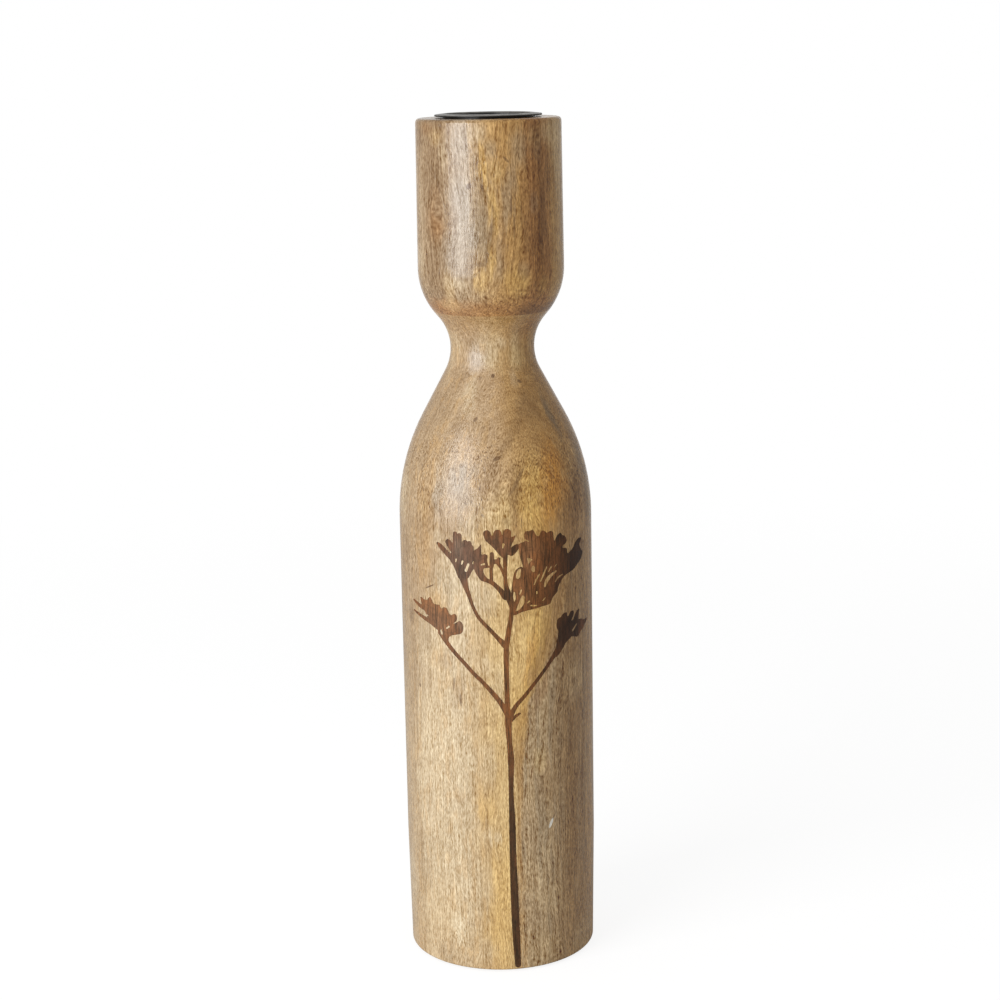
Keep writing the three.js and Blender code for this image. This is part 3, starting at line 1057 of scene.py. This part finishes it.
STEMS = (
    ((7.3, 3.6, 3), (6.6, 20, 3.8), (6, 42, 3.7), (5.65, 58, 3.3), (5.5, 80, 2.9), (5.2, 92, 2.3),
     (5.4, 104, 2.7), (5.4, 110, 3.2), (4.9, 117, 2.5), (4.5, 124, 3), (4.4, 131, 3.2), (4.05, 138, 2.4),
     (4, 164, 2.5), (4.7, 169, 2.6), (5.5, 174, 2.4), (6.3, 178, 2.2), (7, 184, 2.2), (6, 189, 3.4),
     (4.9, 193, 2.6), (4.2, 197, 1.9), (4.2, 203, 1.8), (4.3, 210, 2.4)),
    ((4.2, 132.3, 3), (2, 136.2, 2.6), (0, 139.4, 2.4), (-4, 144.4, 2.1), (-8, 148.8, 1.9),
     (-12, 152.6, 1.9), (-16, 156.9, 1.9), (-20, 160.7, 2), (-24, 164.9, 2.3), (-27, 168.4, 2.7),
     (-29, 170.9, 2.8)),
    ((5.2, 130.4, 2.8), (8, 135.8, 2.1), (12, 140.1, 1.9), (16, 144.5, 1.8), (20, 148.9, 1.8),
     (24, 153.3, 1.8), (27, 156.8, 2.1), (30, 160, 3.2)),
    ((3.4, 166.3, 3), (0, 170.1, 2.1), (-4, 174.6, 1.8), (-8, 178.9, 1.7), (-9.9, 181.8, 1.6),
     (-11.8, 186.2, 1.6), (-13.2, 190.4, 2), (-14.7, 194.6, 2.8), (-15.8, 198.5, 4), (-16.8, 202, 5.5)),
    ((4.1, 189.9, 3.2), (2, 192.8, 2.5), (0, 195, 2.1), (-2, 196.8, 2.1), (-4, 197.8, 2),
     (-6.5, 198.8, 2.4)),
    ((5.5, 128.8, 1.8), (8, 131, 1.5), (10, 132.2, 1)),
    ((-2.3, 197.3, 1.6), (-2.4, 203, 1.6), (-2.1, 206, 2.2), (-1.9, 210.7, 1.9)),
    ((3.6, 200, 1.2), (2.4, 203.6, 1.3), (0.8, 206.6, 1.9), (1.3, 208.4, 1.5)),
    ((-1.8, 206.8, 2.4), (0.9, 207.2, 2.2)),
    ((-6.5, 204.6, 1), (-3, 204.6, 1)),
    ((-14, 199.8, 2.2), (-12.2, 202.8, 1.8), (-10.8, 204.8, 2.4)),
)
PETALS = (
    ((-19.5, 206.5, 3.5), (-24, 210, 2.6), (-27.5, 213, 2.4), (-29.2, 214.3, 1.3)),
    ((-20.5, 211.5, 3), (-22.8, 214.9, 3.4), (-23.4, 215.6, 2.8)),
    ((-19, 212, 4), (-19.2, 216, 3.4), (-19.5, 219.8, 2.3)),
    ((-17.8, 212, 4), (-17.8, 216, 3.2), (-17.4, 219.2, 2.2)),
    ((-14.8, 211, 4), (-14.6, 215.8, 2.9)),
    ((-13, 211, 4), (-12.5, 215.7, 2.3)),
    ((-12.5, 210, 4), (-11.6, 213.8, 2.3)),
    ((-7, 207.5, 4), (-5.4, 209.2, 2.9)),
    ((-3.4, 218, 3.4), (-4.1, 220.4, 3.6)),
    ((0.8, 217, 4.5), (0.9, 220.4, 3.9)),
    ((5.2, 217, 4.6), (5.4, 220.7, 3.8)),
    ((7.2, 210.9, 2.8), (8.4, 212.4, 3.4), (9.8, 213.8, 2.6)),
    ((-37, 181, 3.2), (-42, 181.6, 2), (-47.5, 183.5, 1.2)),
    ((-35, 175.2, 2.6), (-41, 176.6, 1.7), (-47.5, 178.4, 0.9)),
)
MASSES = (
    ((-17.6, 198), (-19.5, 201.5), (-21, 204.8), (-22.5, 207), (-21.5, 211.5), (-18, 215), (-13, 215),
     (-10.9, 212), (-10.6, 207), (-11.6, 204), (-13.6, 201)),
    ((-11.4, 205.5), (-10.2, 202.6), (-9.2, 200.6), (-7.6, 198.4), (-5.5, 197.4), (-4, 197.6),
     (-3.8, 198.5), (-5.2, 200.2), (-6, 202), (-5.7, 203.8), (-3.4, 204.3), (-4.2, 207), (-4.1, 210),
     (-5.4, 210.7), (-6.9, 210.6), (-6.9, 215.2), (-8.4, 213.6), (-10.4, 212.2), (-12, 210)),
    ((-5.4, 219.6), (-4, 216.4), (-2, 214.6), (0.5, 211.6), (2.7, 209), (4.6, 208.5), (5.6, 210),
     (7.8, 210.3), (8.2, 211.8), (7, 213.2), (7.6, 215.4), (8.7, 217.3), (9.3, 219.3), (7.5, 218.6),
     (5, 220), (1, 219.6), (-3, 219.6)),
    ((-28.5, 169.8), (-30.5, 171.6), (-33, 172.9), (-36, 174.6), (-37, 177), (-39, 180), (-41, 182.5),
     (-41.8, 185.4), (-41.2, 186.1), (-39, 185.5), (-37, 185.4), (-36, 186.6), (-34.8, 187.2),
     (-33.6, 186), (-33, 184.5), (-31, 184.2), (-29.2, 184.2), (-28, 182.6), (-26.8, 183.4),
     (-25.2, 183.3), (-24.2, 182), (-23.6, 180.6), (-22.4, 180.1), (-21, 180.9), (-19.9, 180.4),
     (-19.5, 179), (-20, 177.4), (-21.6, 175.9), (-19.6, 176.9), (-18.4, 177.6), (-17, 176.9),
     (-16.4, 175.4), (-16.5, 173.2), (-17.5, 171.6), (-19.6, 170.8), (-21.6, 170.4), (-23.4, 169.6),
     (-24.2, 168.4), (-24.2, 166.6), (-24, 165), (-26, 167)),
    ((28.6, 158.6), (29.6, 161), (30.2, 165), (31.1, 168), (31.2, 170), (30.3, 172), (30.4, 174.4),
     (31.4, 176.2), (33, 176.6), (34.6, 178), (36.8, 178), (37.3, 176.2), (38.4, 176.4), (39.8, 178),
     (41.8, 177.9), (42.2, 176.6), (41.2, 174.8), (40.2, 173.4), (41.6, 173.4), (43, 175.6), (45, 177.4),
     (46.9, 177.6), (46.6, 175.8), (45.8, 173), (47, 172.5), (48.8, 172.3), (51.5, 171.2), (54.5, 171.2),
     (56, 170.8), (53.8, 169.2), (52, 168.2), (50.5, 167), (48.5, 166.4), (47, 165.2), (44.6, 164.3),
     (42.6, 164.9), (40.5, 165.4), (38.6, 164.6), (36, 163.2), (34.4, 161.4), (32.8, 159.6),
     (31.6, 158.6), (29.8, 157.4)),
    ((12.6, 203.4), (12.4, 205), (11.4, 208.5), (10.9, 212), (10.7, 214.8), (12, 215.5), (13.7, 216.2),
     (13.5, 219.5), (14.3, 220.9), (16.4, 220.7), (17.6, 221.3), (18.6, 220.2), (19.6, 218.4),
     (21, 217.8), (21.8, 219.4), (22.8, 220.3), (24.2, 219.8), (25.2, 218.9), (27, 219.5), (28.7, 218.7),
     (29, 216), (29.6, 214.4), (30.6, 216), (31.5, 217), (33.4, 217.7), (34.4, 216.4), (36, 215.8),
     (37.3, 213.6), (36.6, 212), (35, 211.4), (34.6, 210.2), (37.2, 209.6), (37.7, 207.6), (38.6, 206.9),
     (42, 208.8), (43.4, 210.6), (46, 212.3), (48.5, 212.5), (49.6, 212), (48, 210), (48, 208.5),
     (49.3, 206.4), (50.8, 205.2), (50, 203.4), (48.3, 201.6), (46, 200.4), (43, 198.5), (40, 197.6),
     (37.5, 197), (35, 195.9), (32.8, 193.6), (31.4, 191.5), (31, 189.6), (29.5, 188.3), (28.1, 187),
     (26.8, 184.6), (25.5, 184), (22, 183.6), (18, 182.9), (14, 182.4), (11, 181.7), (8.6, 180.8),
     (7, 181.5), (6.9, 186), (6.8, 190), (7.1, 194), (7.7, 198), (8.4, 201.2), (9.6, 203), (11.7, 204)),
)
GAP_SHAPES = (
    ((9.2, 198.8), (11, 198.6), (11.7, 202.4), (11.1, 203.1), (9.8, 201.8)),
    ((8.8, 182.7), (9.6, 184.6), (10.6, 187), (11.6, 189.4), (12.4, 190.1), (13.4, 189), (13.5, 187.8),
     (12.8, 185.8), (11.6, 184.2), (10.2, 183)),
    ((14.8, 208), (16.2, 207.6), (17.6, 206.9), (16.2, 205.8), (15.4, 204.8)),
    ((16.6, 202.4), (17.6, 204.1), (18.7, 203), (18.4, 201), (17.6, 200.8)),
)
GAP_STROKES = (
    ((-19.3, 207.6, 0.7), (-19.5, 206.4, 0.7)),
    ((-16, 206.8, 1), (-16.5, 205.4, 0.6)),
    ((-13.2, 205.4, 1.2), (-14.4, 202.5, 1.4)),
    ((-10.7, 206.9, 0.6), (-10.9, 206, 0.6)),
    ((-7, 205.5, 0.6), (-5.6, 205.9, 0.9)),
    ((3.5, 215.2, 1.2), (3.3, 213.6, 0.6)),
    ((-25.2, 173.3, 0.7), (-23.9, 174.3, 0.9)),
    ((-28.4, 171.8, 1), (-28, 170.2, 0.9)),
    ((-43, 179, 0.9), (-39, 178.2, 0.8), (-36.4, 177.7, 0.4)),
    ((40.8, 168, 0.7), (42.5, 169.2, 1.1), (44.6, 170.8, 0.5)),
    ((8.3, 191.8, 0.6), (8.4, 189.8, 1.3), (8.3, 187.6, 0.5)),
    ((11.7, 192.6, 0.8), (11, 190.9, 0.7)),
    ((14.6, 186.2, 0.7), (15.6, 186.9, 0.8)),
    ((16.3, 184.8, 0.6), (18, 184.5, 0.8), (19.4, 184.4, 0.4)),
    ((18.2, 194.8, 0.5), (19.4, 197.3, 0.9), (20.9, 199.4, 0.6)),
    ((21.5, 196, 0.8), (23, 198.8, 0.9), (24.8, 202.3, 0.8)),
    ((23.8, 193.3, 1.2), (25, 196, 2), (27, 197.8, 1.6), (30.2, 199.6, 1)),
    ((26, 200.1, 0.6), (27.4, 202.1, 0.7)),
    ((29.4, 201.7, 0.5), (30.6, 202.8, 0.5)),
    ((29.8, 194.6, 0.6), (31.5, 196.3, 0.9), (34.5, 197.3, 0.5)),
    ((19.4, 191.1, 0.7), (19.5, 190.2, 0.7)),
    ((22.6, 186.4, 0.5), (23.8, 187.5, 0.5)),
    ((13.6, 216.9, 0.5), (15.6, 215.9, 0.6)),
)

# Where the flower is cut across and up so that it can follow the round wood, in millimetres

FLOWER_COLUMNS = np.arange(-49.5, 57, 1.5)
FLOWER_ROWS = (2.2, 2.5, 3, 4, 8, 20, 40, 60, 100, 140, 180, 200, 212, 216, 218, 220, 221.5)

# The sheet that the flower is cut from, before it is wrapped round the body

SHEET_WIDTH = 200 * MM
SHEET_HEIGHT = 300 * MM
SHEET_MIDDLE = 120 * MM
SHEET_SUNK = 0.6 * MM

# The stretch of the body's outline that the flower lies on: its least radius and its top

SIDE_RADIUS = 44.5 * MM
SIDE_TOP = 260 * MM

# The stamped ring in the cup's floor, as (millimetres in from the wall, millimetres up)

FLOOR_RING = ((5.6, 0), (6.2, 0.3), (7.4, 0.3), (8.0, 0))

CUP_STEPS = 192
PAD_STEPS = 72

# How far in from each other the rings of faces on a felt pad lie, in millimetres, and the size of its lumps

PAD_INSETS = (0.25, 1.2, 1.2, 1.2, 1.2, 1.2)
PAD_LUMP = 0.6 * MM


def smooth_line(knots, steps, closed):
    """A flowing curve through the knots, with that many steps between each two."""
    knots = [np.array(knot, float) for knot in knots]
    count = len(knots)
    line = []
    for index in range(count if closed else count - 1):
        if closed:
            a, b, c, d = (knots[(index + k) % count] for k in (-1, 0, 1, 2))
        else:
            a, b, c, d = (knots[min(max(index + k, 0), count - 1)] for k in (-1, 0, 1, 2))
        for k in range(steps):
            t = k / steps
            bend = (2 * a - 5 * b + 4 * c - d) * t**2 + (3 * b - a - 3 * c + d) * t**3
            line.append(0.5 * (2 * b + (c - a) * t + bend))
    if not closed:
        line.append(knots[-1])
    return line


def stroke_outline(stroke):
    """The closed outline of a stroke with round ends."""
    line = smooth_line(stroke, 4, False)
    left, right = [], []
    for index, point in enumerate(line):
        ahead = line[min(index + 1, len(line) - 1)][:2] - line[max(index - 1, 0)][:2]
        normal = np.array([-ahead[1], ahead[0]]) / np.linalg.norm(ahead)
        left.append(point[:2] + normal * point[2] / 2)
        right.append(point[:2] - normal * point[2] / 2)
    end_cap = half_circle(line[-1], left[-1])
    start_cap = half_circle(line[0], right[0])
    return left + end_cap + right[::-1] + start_cap


def half_circle(end, start):
    """Points between the two sides of a stroke's end, clockwise round it."""
    arm = start - end[:2]
    points = []
    for k in range(1, 6):
        turn = -math.pi * k / 6
        c, s = math.cos(turn), math.sin(turn)
        points.append(end[:2] + np.array([arm[0] * c - arm[1] * s, arm[0] * s + arm[1] * c]))
    return points


def flat_solid(name, outlines):
    """Closed outlines, in millimetres, raised into flat solids that reach past both faces of the sheet."""
    deselect()
    solids = []
    for index, outline in enumerate(outlines):
        bpy.ops.mesh.primitive_circle_add(vertices=len(outline), radius=MM, fill_type="NGON")
        solid = bpy.context.object
        reach = (1 + 0.01 * index) * MM
        for vertex, point in zip(solid.data.vertices, outline):
            vertex.co = (point[0] * MM, point[1] * MM, -reach)
        with editing("SELECT"):
            bpy.ops.mesh.extrude_region_move(TRANSFORM_OT_translate={"value": (0, 0, 2 * reach)})
            bpy.ops.mesh.select_all(action="SELECT")
            bpy.ops.mesh.normals_make_consistent(inside=False)
        solids.append(solid)
    for solid in solids:
        solid.select_set(True)
    bpy.ops.object.join()
    piece = bpy.context.object
    piece.name = piece.data.name = name
    return piece


def cut_with(piece, operation, other):
    """Applies an exact Boolean and removes the other solid."""
    select_only(piece)
    modifier = piece.modifiers.new("cut", "BOOLEAN")
    modifier.operation = operation
    modifier.object = other
    modifier.solver = "EXACT"
    modifier.use_self = True
    bpy.ops.object.modifier_apply(modifier=modifier.name)
    bpy.data.objects.remove(other)


def slice_flat(piece, places, normal):
    """Cuts a flat piece at those places, so that it can follow a round surface."""
    select_only(piece)
    with editing():
        for place in places:
            bpy.ops.mesh.select_all(action="SELECT")
            point = tuple(place * MM * axis for axis in normal)
            bpy.ops.mesh.bisect(plane_co=point, plane_no=normal)


def radius_at(line, height):
    """Radius of the turned side at a height."""
    side = [point for point in line if point.x > SIDE_RADIUS and point.y < SIDE_TOP]
    return float(np.interp(height, [point.y for point in side], [point.x for point in side]))


class CANDLESTICK_OT_body(bpy.types.Operator):
    """Turn the body, from its foot to the glued joint"""

    bl_idname = "candlestick.body"
    bl_label = "Turn body"

    def execute(self, context):
        s = sizes()
        below = cut_at_height(wood_line(), s.joint_height)[0]
        radius, depth = dowel_hole()
        rim = (radius, s.joint_height)
        socket = rounded([below[-1].to_tuple() + (0,), rim + (0,), (radius, s.joint_height - depth, 0),
                          (0, s.joint_height - depth, 0)])
        piece = turned("turned_wood_body", below + socket[1:], s.round_steps)
        finish_piece(piece, body_wood(), "wood", "body_wood", "turned_body")
        return {"FINISHED"}


class CANDLESTICK_OT_head(bpy.types.Operator):
    """Turn the head, with the recess for the cup"""

    bl_idname = "candlestick.head"
    bl_label = "Turn head"

    def execute(self, context):
        s = sizes()
        above = cut_at_height(wood_line(), s.joint_height)[1]
        radius, depth = dowel_hole()
        socket = rounded([(0, s.joint_height + depth, 0), (radius, s.joint_height + depth, 0),
                          (radius, s.joint_height, 0), above[0].to_tuple() + (0,)])
        piece = turned("turned_wood_head", socket[:-1] + above, s.round_steps)
        finish_piece(piece, head_wood(), "wood", "head_wood", "turned_head")
        return {"FINISHED"}


class CANDLESTICK_OT_dowel(bpy.types.Operator):
    """Give the dowel in the glued joint its beech finish"""

    bl_idname = "candlestick.dowel"
    bl_label = "Finish dowel"

    def execute(self, context):
        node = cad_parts["joint_dowel"]
        node.data.materials.clear()
        node.data.materials.append(dowel_wood())
        return {"FINISHED"}


class CANDLESTICK_OT_flower(bpy.types.Operator):
    """Burn the flower into the front of the body"""

    bl_idname = "candlestick.flower"
    bl_label = "Burn flower"

    def execute(self, context):
        outlines = [stroke_outline(stroke) for stroke in STEMS + PETALS]
        outlines += [smooth_line(mass, 3, True) for mass in MASSES]
        piece = flat_solid("flower_ornament", outlines)
        gaps = [stroke_outline(stroke) for stroke in GAP_STROKES]
        gaps += [smooth_line(shape, 3, True) for shape in GAP_SHAPES]
        relief = sizes().flower_relief
        deselect()
        bpy.ops.mesh.primitive_cube_add(size=1, location=(0, SHEET_MIDDLE, (relief - SHEET_SUNK) / 2))
        sheet = bpy.context.object
        sheet.scale = (SHEET_WIDTH, SHEET_HEIGHT, relief + SHEET_SUNK)
        bpy.ops.object.transform_apply(location=True, rotation=True, scale=True)
        cut_with(piece, "INTERSECT", sheet)
        cut_with(piece, "DIFFERENCE", flat_solid("gaps", gaps))
        slice_flat(piece, FLOWER_COLUMNS, (1, 0, 0))
        slice_flat(piece, FLOWER_ROWS, (0, 1, 0))
        line = wood_line()
        for vertex in piece.data.vertices:
            across, up, rise = vertex.co
            angle = across / sizes().body_radius
            reach = radius_at(line, up) + rise
            vertex.co = (reach * math.sin(angle), -reach * math.cos(angle), up)
        select_only(piece)
        with editing("SELECT"):
            bpy.ops.mesh.remove_doubles(threshold=SAME_PLACE)
            bpy.ops.mesh.quads_convert_to_tris()
            bpy.ops.mesh.normals_make_consistent(inside=False)
        bpy.ops.object.shade_smooth_by_angle(angle=ROUND_ANGLE)
        finish_piece(piece, burnt_wood(), "wood", "body_wood")
        return {"FINISHED"}


class CANDLESTICK_OT_cup(bpy.types.Operator):
    """Press the steel cup, with its drooping flange"""

    bl_idname = "candlestick.cup"
    bl_label = "Press cup"

    def execute(self, context):
        s = sizes()
        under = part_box("candle_cup")[0].z
        floor = under + s.cup_wall
        outside = s.cup_radius + s.cup_wall
        edge = s.flange_under + s.flange_thickness
        ring = [(s.cup_radius - inwards * MM, floor + up * MM, 0.5 * MM) for inwards, up in FLOOR_RING]
        line = rounded([
            (0, under, 0),
            (outside - 6 * MM, under, 0),
            (outside, under, 2.4 * MM),
            (outside, s.flange_under + s.flange_droop, 0.35 * MM),
            (s.flange_radius, s.flange_under, 0.3 * MM),
            (s.flange_radius, edge, 0.4 * MM),
            (s.cup_radius, edge + s.flange_droop, 1.2 * MM),
            (s.cup_radius, floor, 1.8 * MM),
            *ring,
            (0, floor, 0),
        ], 2 * MM)
        piece = turned("steel_cup", line, CUP_STEPS)
        finish_piece(piece, blackened_steel(), "cup", "blackened_steel", "candle_cup")
        return {"FINISHED"}


class CANDLESTICK_OT_pads(bpy.types.Operator):
    """Cut the three felt pads under the foot"""

    bl_idname = "candlestick.pads"
    bl_label = "Cut felt pads"

    def execute(self, context):
        material = pressed_felt()
        for number in (1, 2, 3):
            low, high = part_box(f"felt_pad_{number}")
            centre = (low + high) / 2
            thickness = high.z - low.z
            deselect()
            bpy.ops.mesh.primitive_cylinder_add(
                vertices=PAD_STEPS, radius=(high.x - low.x) / 2, depth=thickness, location=centre
            )
            piece = bpy.context.object
            piece.name = piece.data.name = f"felt_disc_{number}"
            bpy.ops.object.transform_apply(location=True, rotation=True, scale=True)
            with editing("DESELECT"):
                bpy.ops.mesh.select_mode(type="FACE")
            for face in piece.data.polygons:
                face.select = abs(face.normal.z) > 0.9
            with editing():
                for inset in PAD_INSETS:
                    bpy.ops.mesh.inset(thickness=inset * MM)
            for modifier_type, settings in (
                ("BEVEL", {"width": 0.2 * MM, "segments": 3, "angle_limit": math.radians(50)}),
                ("SUBSURF", {"levels": 1, "render_levels": 1, "subdivision_type": "SIMPLE"}),
            ):
                modifier = piece.modifiers.new("finish", modifier_type)
                for setting, value in settings.items():
                    setattr(modifier, setting, value)
                bpy.ops.object.modifier_apply(modifier=modifier.name)
            for vertex in piece.data.vertices:
                outward = Vector((vertex.co.x - centre.x, vertex.co.y - centre.y, 0))
                if outward.length > thickness and abs(vertex.co.z - centre.z) < thickness * 0.3:
                    fuzz = hand_noise.noise(vertex.co / PAD_LUMP) * sizes().pad_fuzz
                    vertex.co -= outward.normalized() * abs(fuzz)
            bpy.ops.object.shade_smooth_by_angle(angle=math.radians(40))
            finish_piece(piece, material, "wood", "felt", f"felt_pad_{number}")
        return {"FINISHED"}


# The stage. Gloss and glass see a white backdrop behind the candlestick and a grey room round the rest. The
# backdrop starts where the share of a direction that points backwards goes through these two values.

WHITE = (1, 1, 1)
BACKDROP = (0.90, 0.995)
ROOM_GREY = 0.35
SURROUND_LIGHT = 0.42

# The floor: its width in metres, the distance in millimetres over which its shadow fades, the greys that it
# throws back where it lights things and where it is seen, and its own glow where it is seen

FLOOR_WIDTH = 40
SHADOW_FADES = (500, 1100)
LIT_GREY = (0.8, 0.8, 0.8)
SEEN_GREY = (0.24, 0.24, 0.24)
SEEN_GLOW = 0.86

# The soft light: where it stands in degrees and metres, its width and height in metres, and its watts

SOFTBOX_AZIMUTH = -46
SOFTBOX_DISTANCE = 1.6
SOFTBOX_MIDDLE = 0.69
SOFTBOX_SIZE = (1.1, 1.3)
SOFTBOX_WATTS = 23.5

# The camera: its place in metres, how many degrees it looks down and rolls, and its lens and sensor in
# millimetres

CAMERA_PLACE = (0.00234, -0.9979, 0.4440)
CAMERA_DOWN = 12.307
CAMERA_ROLL = -1.020
CAMERA_LENS = 75.48
CAMERA_SENSOR = 36


class CANDLESTICK_OT_stage(bpy.types.Operator):
    """Set up the floor, the light and the camera"""

    bl_idname = "candlestick.stage"
    bl_label = "Set stage"

    def execute(self, context):
        scene = context.scene
        scene.view_settings.view_transform = "Standard"
        deselect()
        bpy.ops.mesh.primitive_plane_add(size=FLOOR_WIDTH)
        floor = context.object
        floor.name = "pale_floor"
        floor.data.materials.append(self.floor_paint())

        scene.world = self.white_surround()
        self.softbox()
        self.camera(scene)
        return {"FINISHED"}

    def floor_paint(self):
        """White as the surround where it is seen, with the object's soft shadow kept. Near the candlestick,
        gloss sees the floor as it is lit, so that the sides of the wood stay clear of haze."""
        material = bpy.data.materials.new("pale_floor")
        material.use_nodes = True
        material.node_tree.nodes.clear()
        pattern = Pattern(material.node_tree)
        path = pattern.every("ShaderNodeLightPath")
        seen = path["Is Camera Ray"]
        place = pattern.place()
        reach = pattern.from_axis(place)
        lit = pattern.add("ShaderNodeBsdfDiffuse", {"Color": LIT_GREY})
        veil = pattern.add("ShaderNodeBsdfDiffuse", {"Color": SEEN_GREY})
        glow = pattern.add("ShaderNodeEmission", {"Color": WHITE, "Strength": SEEN_GLOW})
        both = pattern.add("ShaderNodeAddShader", {0: veil, 1: glow})
        near = pattern.add("ShaderNodeMixShader", {0: seen, 1: lit, 2: both})
        room = pattern.ramp(pattern.split(place)[1] / reach, *BACKDROP, ROOM_GREY, 1.0)
        strength = pattern.math("MAXIMUM", room, seen)
        white = pattern.add("ShaderNodeEmission", {"Color": WHITE, "Strength": strength})
        looked_at = pattern.math("MAXIMUM", seen, path["Is Glossy Ray"])
        looked_at = pattern.math("MAXIMUM", looked_at, path["Is Transmission Ray"])
        far = looked_at * pattern.ramp(reach, *SHADOW_FADES)
        paint = pattern.add("ShaderNodeMixShader", {0: far, 1: near, 2: white})
        pattern.node("ShaderNodeOutputMaterial", {"Surface": paint})
        return material

    def white_surround(self):
        """Pure white where it is seen. Gloss and glass see the white backdrop behind the candlestick and a
        grey room round the rest, and the light that falls on things is plain and soft."""
        world = bpy.data.worlds.new("white_surround")
        world.use_nodes = True
        pattern = Pattern(world.node_tree)
        path = pattern.every("ShaderNodeLightPath")
        backwards = pattern.split(pattern.add("ShaderNodeTexCoord", output="Generated"))[1]
        room = pattern.ramp(backwards, *BACKDROP, ROOM_GREY, 1.0)
        glossy = pattern.math("MAXIMUM", path["Is Glossy Ray"], path["Is Transmission Ray"])
        strength = pattern.ramp(glossy, 0.0, 1.0, SURROUND_LIGHT, room)
        strength = pattern.ramp(path["Is Camera Ray"], 0.0, 1.0, strength, 1.0)
        pattern.fill(world.node_tree.nodes["Background"], {"Color": WHITE, "Strength": strength})
        return world

    def softbox(self):
        """A tall soft light to the front left, whose foot stays above the body's reflections."""
        azimuth = math.radians(SOFTBOX_AZIMUTH)
        towards = Vector((math.sin(azimuth), -math.cos(azimuth), 0))
        middle = towards * SOFTBOX_DISTANCE + Vector((0, 0, SOFTBOX_MIDDLE))
        bpy.ops.object.light_add(type="AREA", location=middle)
        light = bpy.context.object
        light.name = "softbox"
        light.data.shape = "RECTANGLE"
        light.data.size, light.data.size_y = SOFTBOX_SIZE
        light.data.energy = SOFTBOX_WATTS
        light.rotation_mode = "QUATERNION"
        light.rotation_quaternion = (-towards).to_track_quat("-Z", "Y")

    def camera(self, scene):
        """The photograph's view: a long lens a metre away, a little above the candlestick."""
        bpy.ops.object.camera_add()
        camera = bpy.context.object
        camera.name = "photo_view"
        camera.data.lens = CAMERA_LENS
        camera.data.sensor_width = CAMERA_SENSOR
        camera.data.clip_start = 0.01
        pitch = Matrix.Rotation(math.radians(90 - CAMERA_DOWN), 4, "X")
        roll = Matrix.Rotation(math.radians(CAMERA_ROLL), 4, "Z")
        camera.matrix_world = Matrix.Translation(CAMERA_PLACE) @ pitch @ roll
        scene.camera = camera


STEPS = (
    CANDLESTICK_OT_stage,
    CANDLESTICK_OT_body,
    CANDLESTICK_OT_head,
    CANDLESTICK_OT_dowel,
    CANDLESTICK_OT_flower,
    CANDLESTICK_OT_cup,
    CANDLESTICK_OT_pads,
)


class VIEW3D_PT_candlestick(bpy.types.Panel):
    """Lists the steps, the sizes and the colours"""

    bl_label = "Candlestick"
    bl_space_type = "VIEW_3D"
    bl_region_type = "UI"
    bl_category = "Candlestick"

    def draw(self, context):
        for step in STEPS:
            self.layout.operator(step.bl_idname)
        for group in (sizes(), colours()):
            box = self.layout.box()
            for field in group.__annotations__:
                box.prop(group, field)


CLASSES = (CandlestickSizes, CandlestickColours, *STEPS, VIEW3D_PT_candlestick)


def register():
    for entry in CLASSES:
        bpy.utils.register_class(entry)
    bpy.types.Scene.candlestick_sizes = PointerProperty(type=CandlestickSizes)
    bpy.types.Scene.candlestick_colours = PointerProperty(type=CandlestickColours)


def unregister():
    del bpy.types.Scene.candlestick_colours
    del bpy.types.Scene.candlestick_sizes
    for entry in reversed(CLASSES):
        bpy.utils.unregister_class(entry)


def main():
    """Builds everything in order."""
    register()
    for step in STEPS:
        group, name = step.bl_idname.split(".")
        getattr(getattr(bpy.ops, group), name)()


if __name__ == "__main__":
    main()
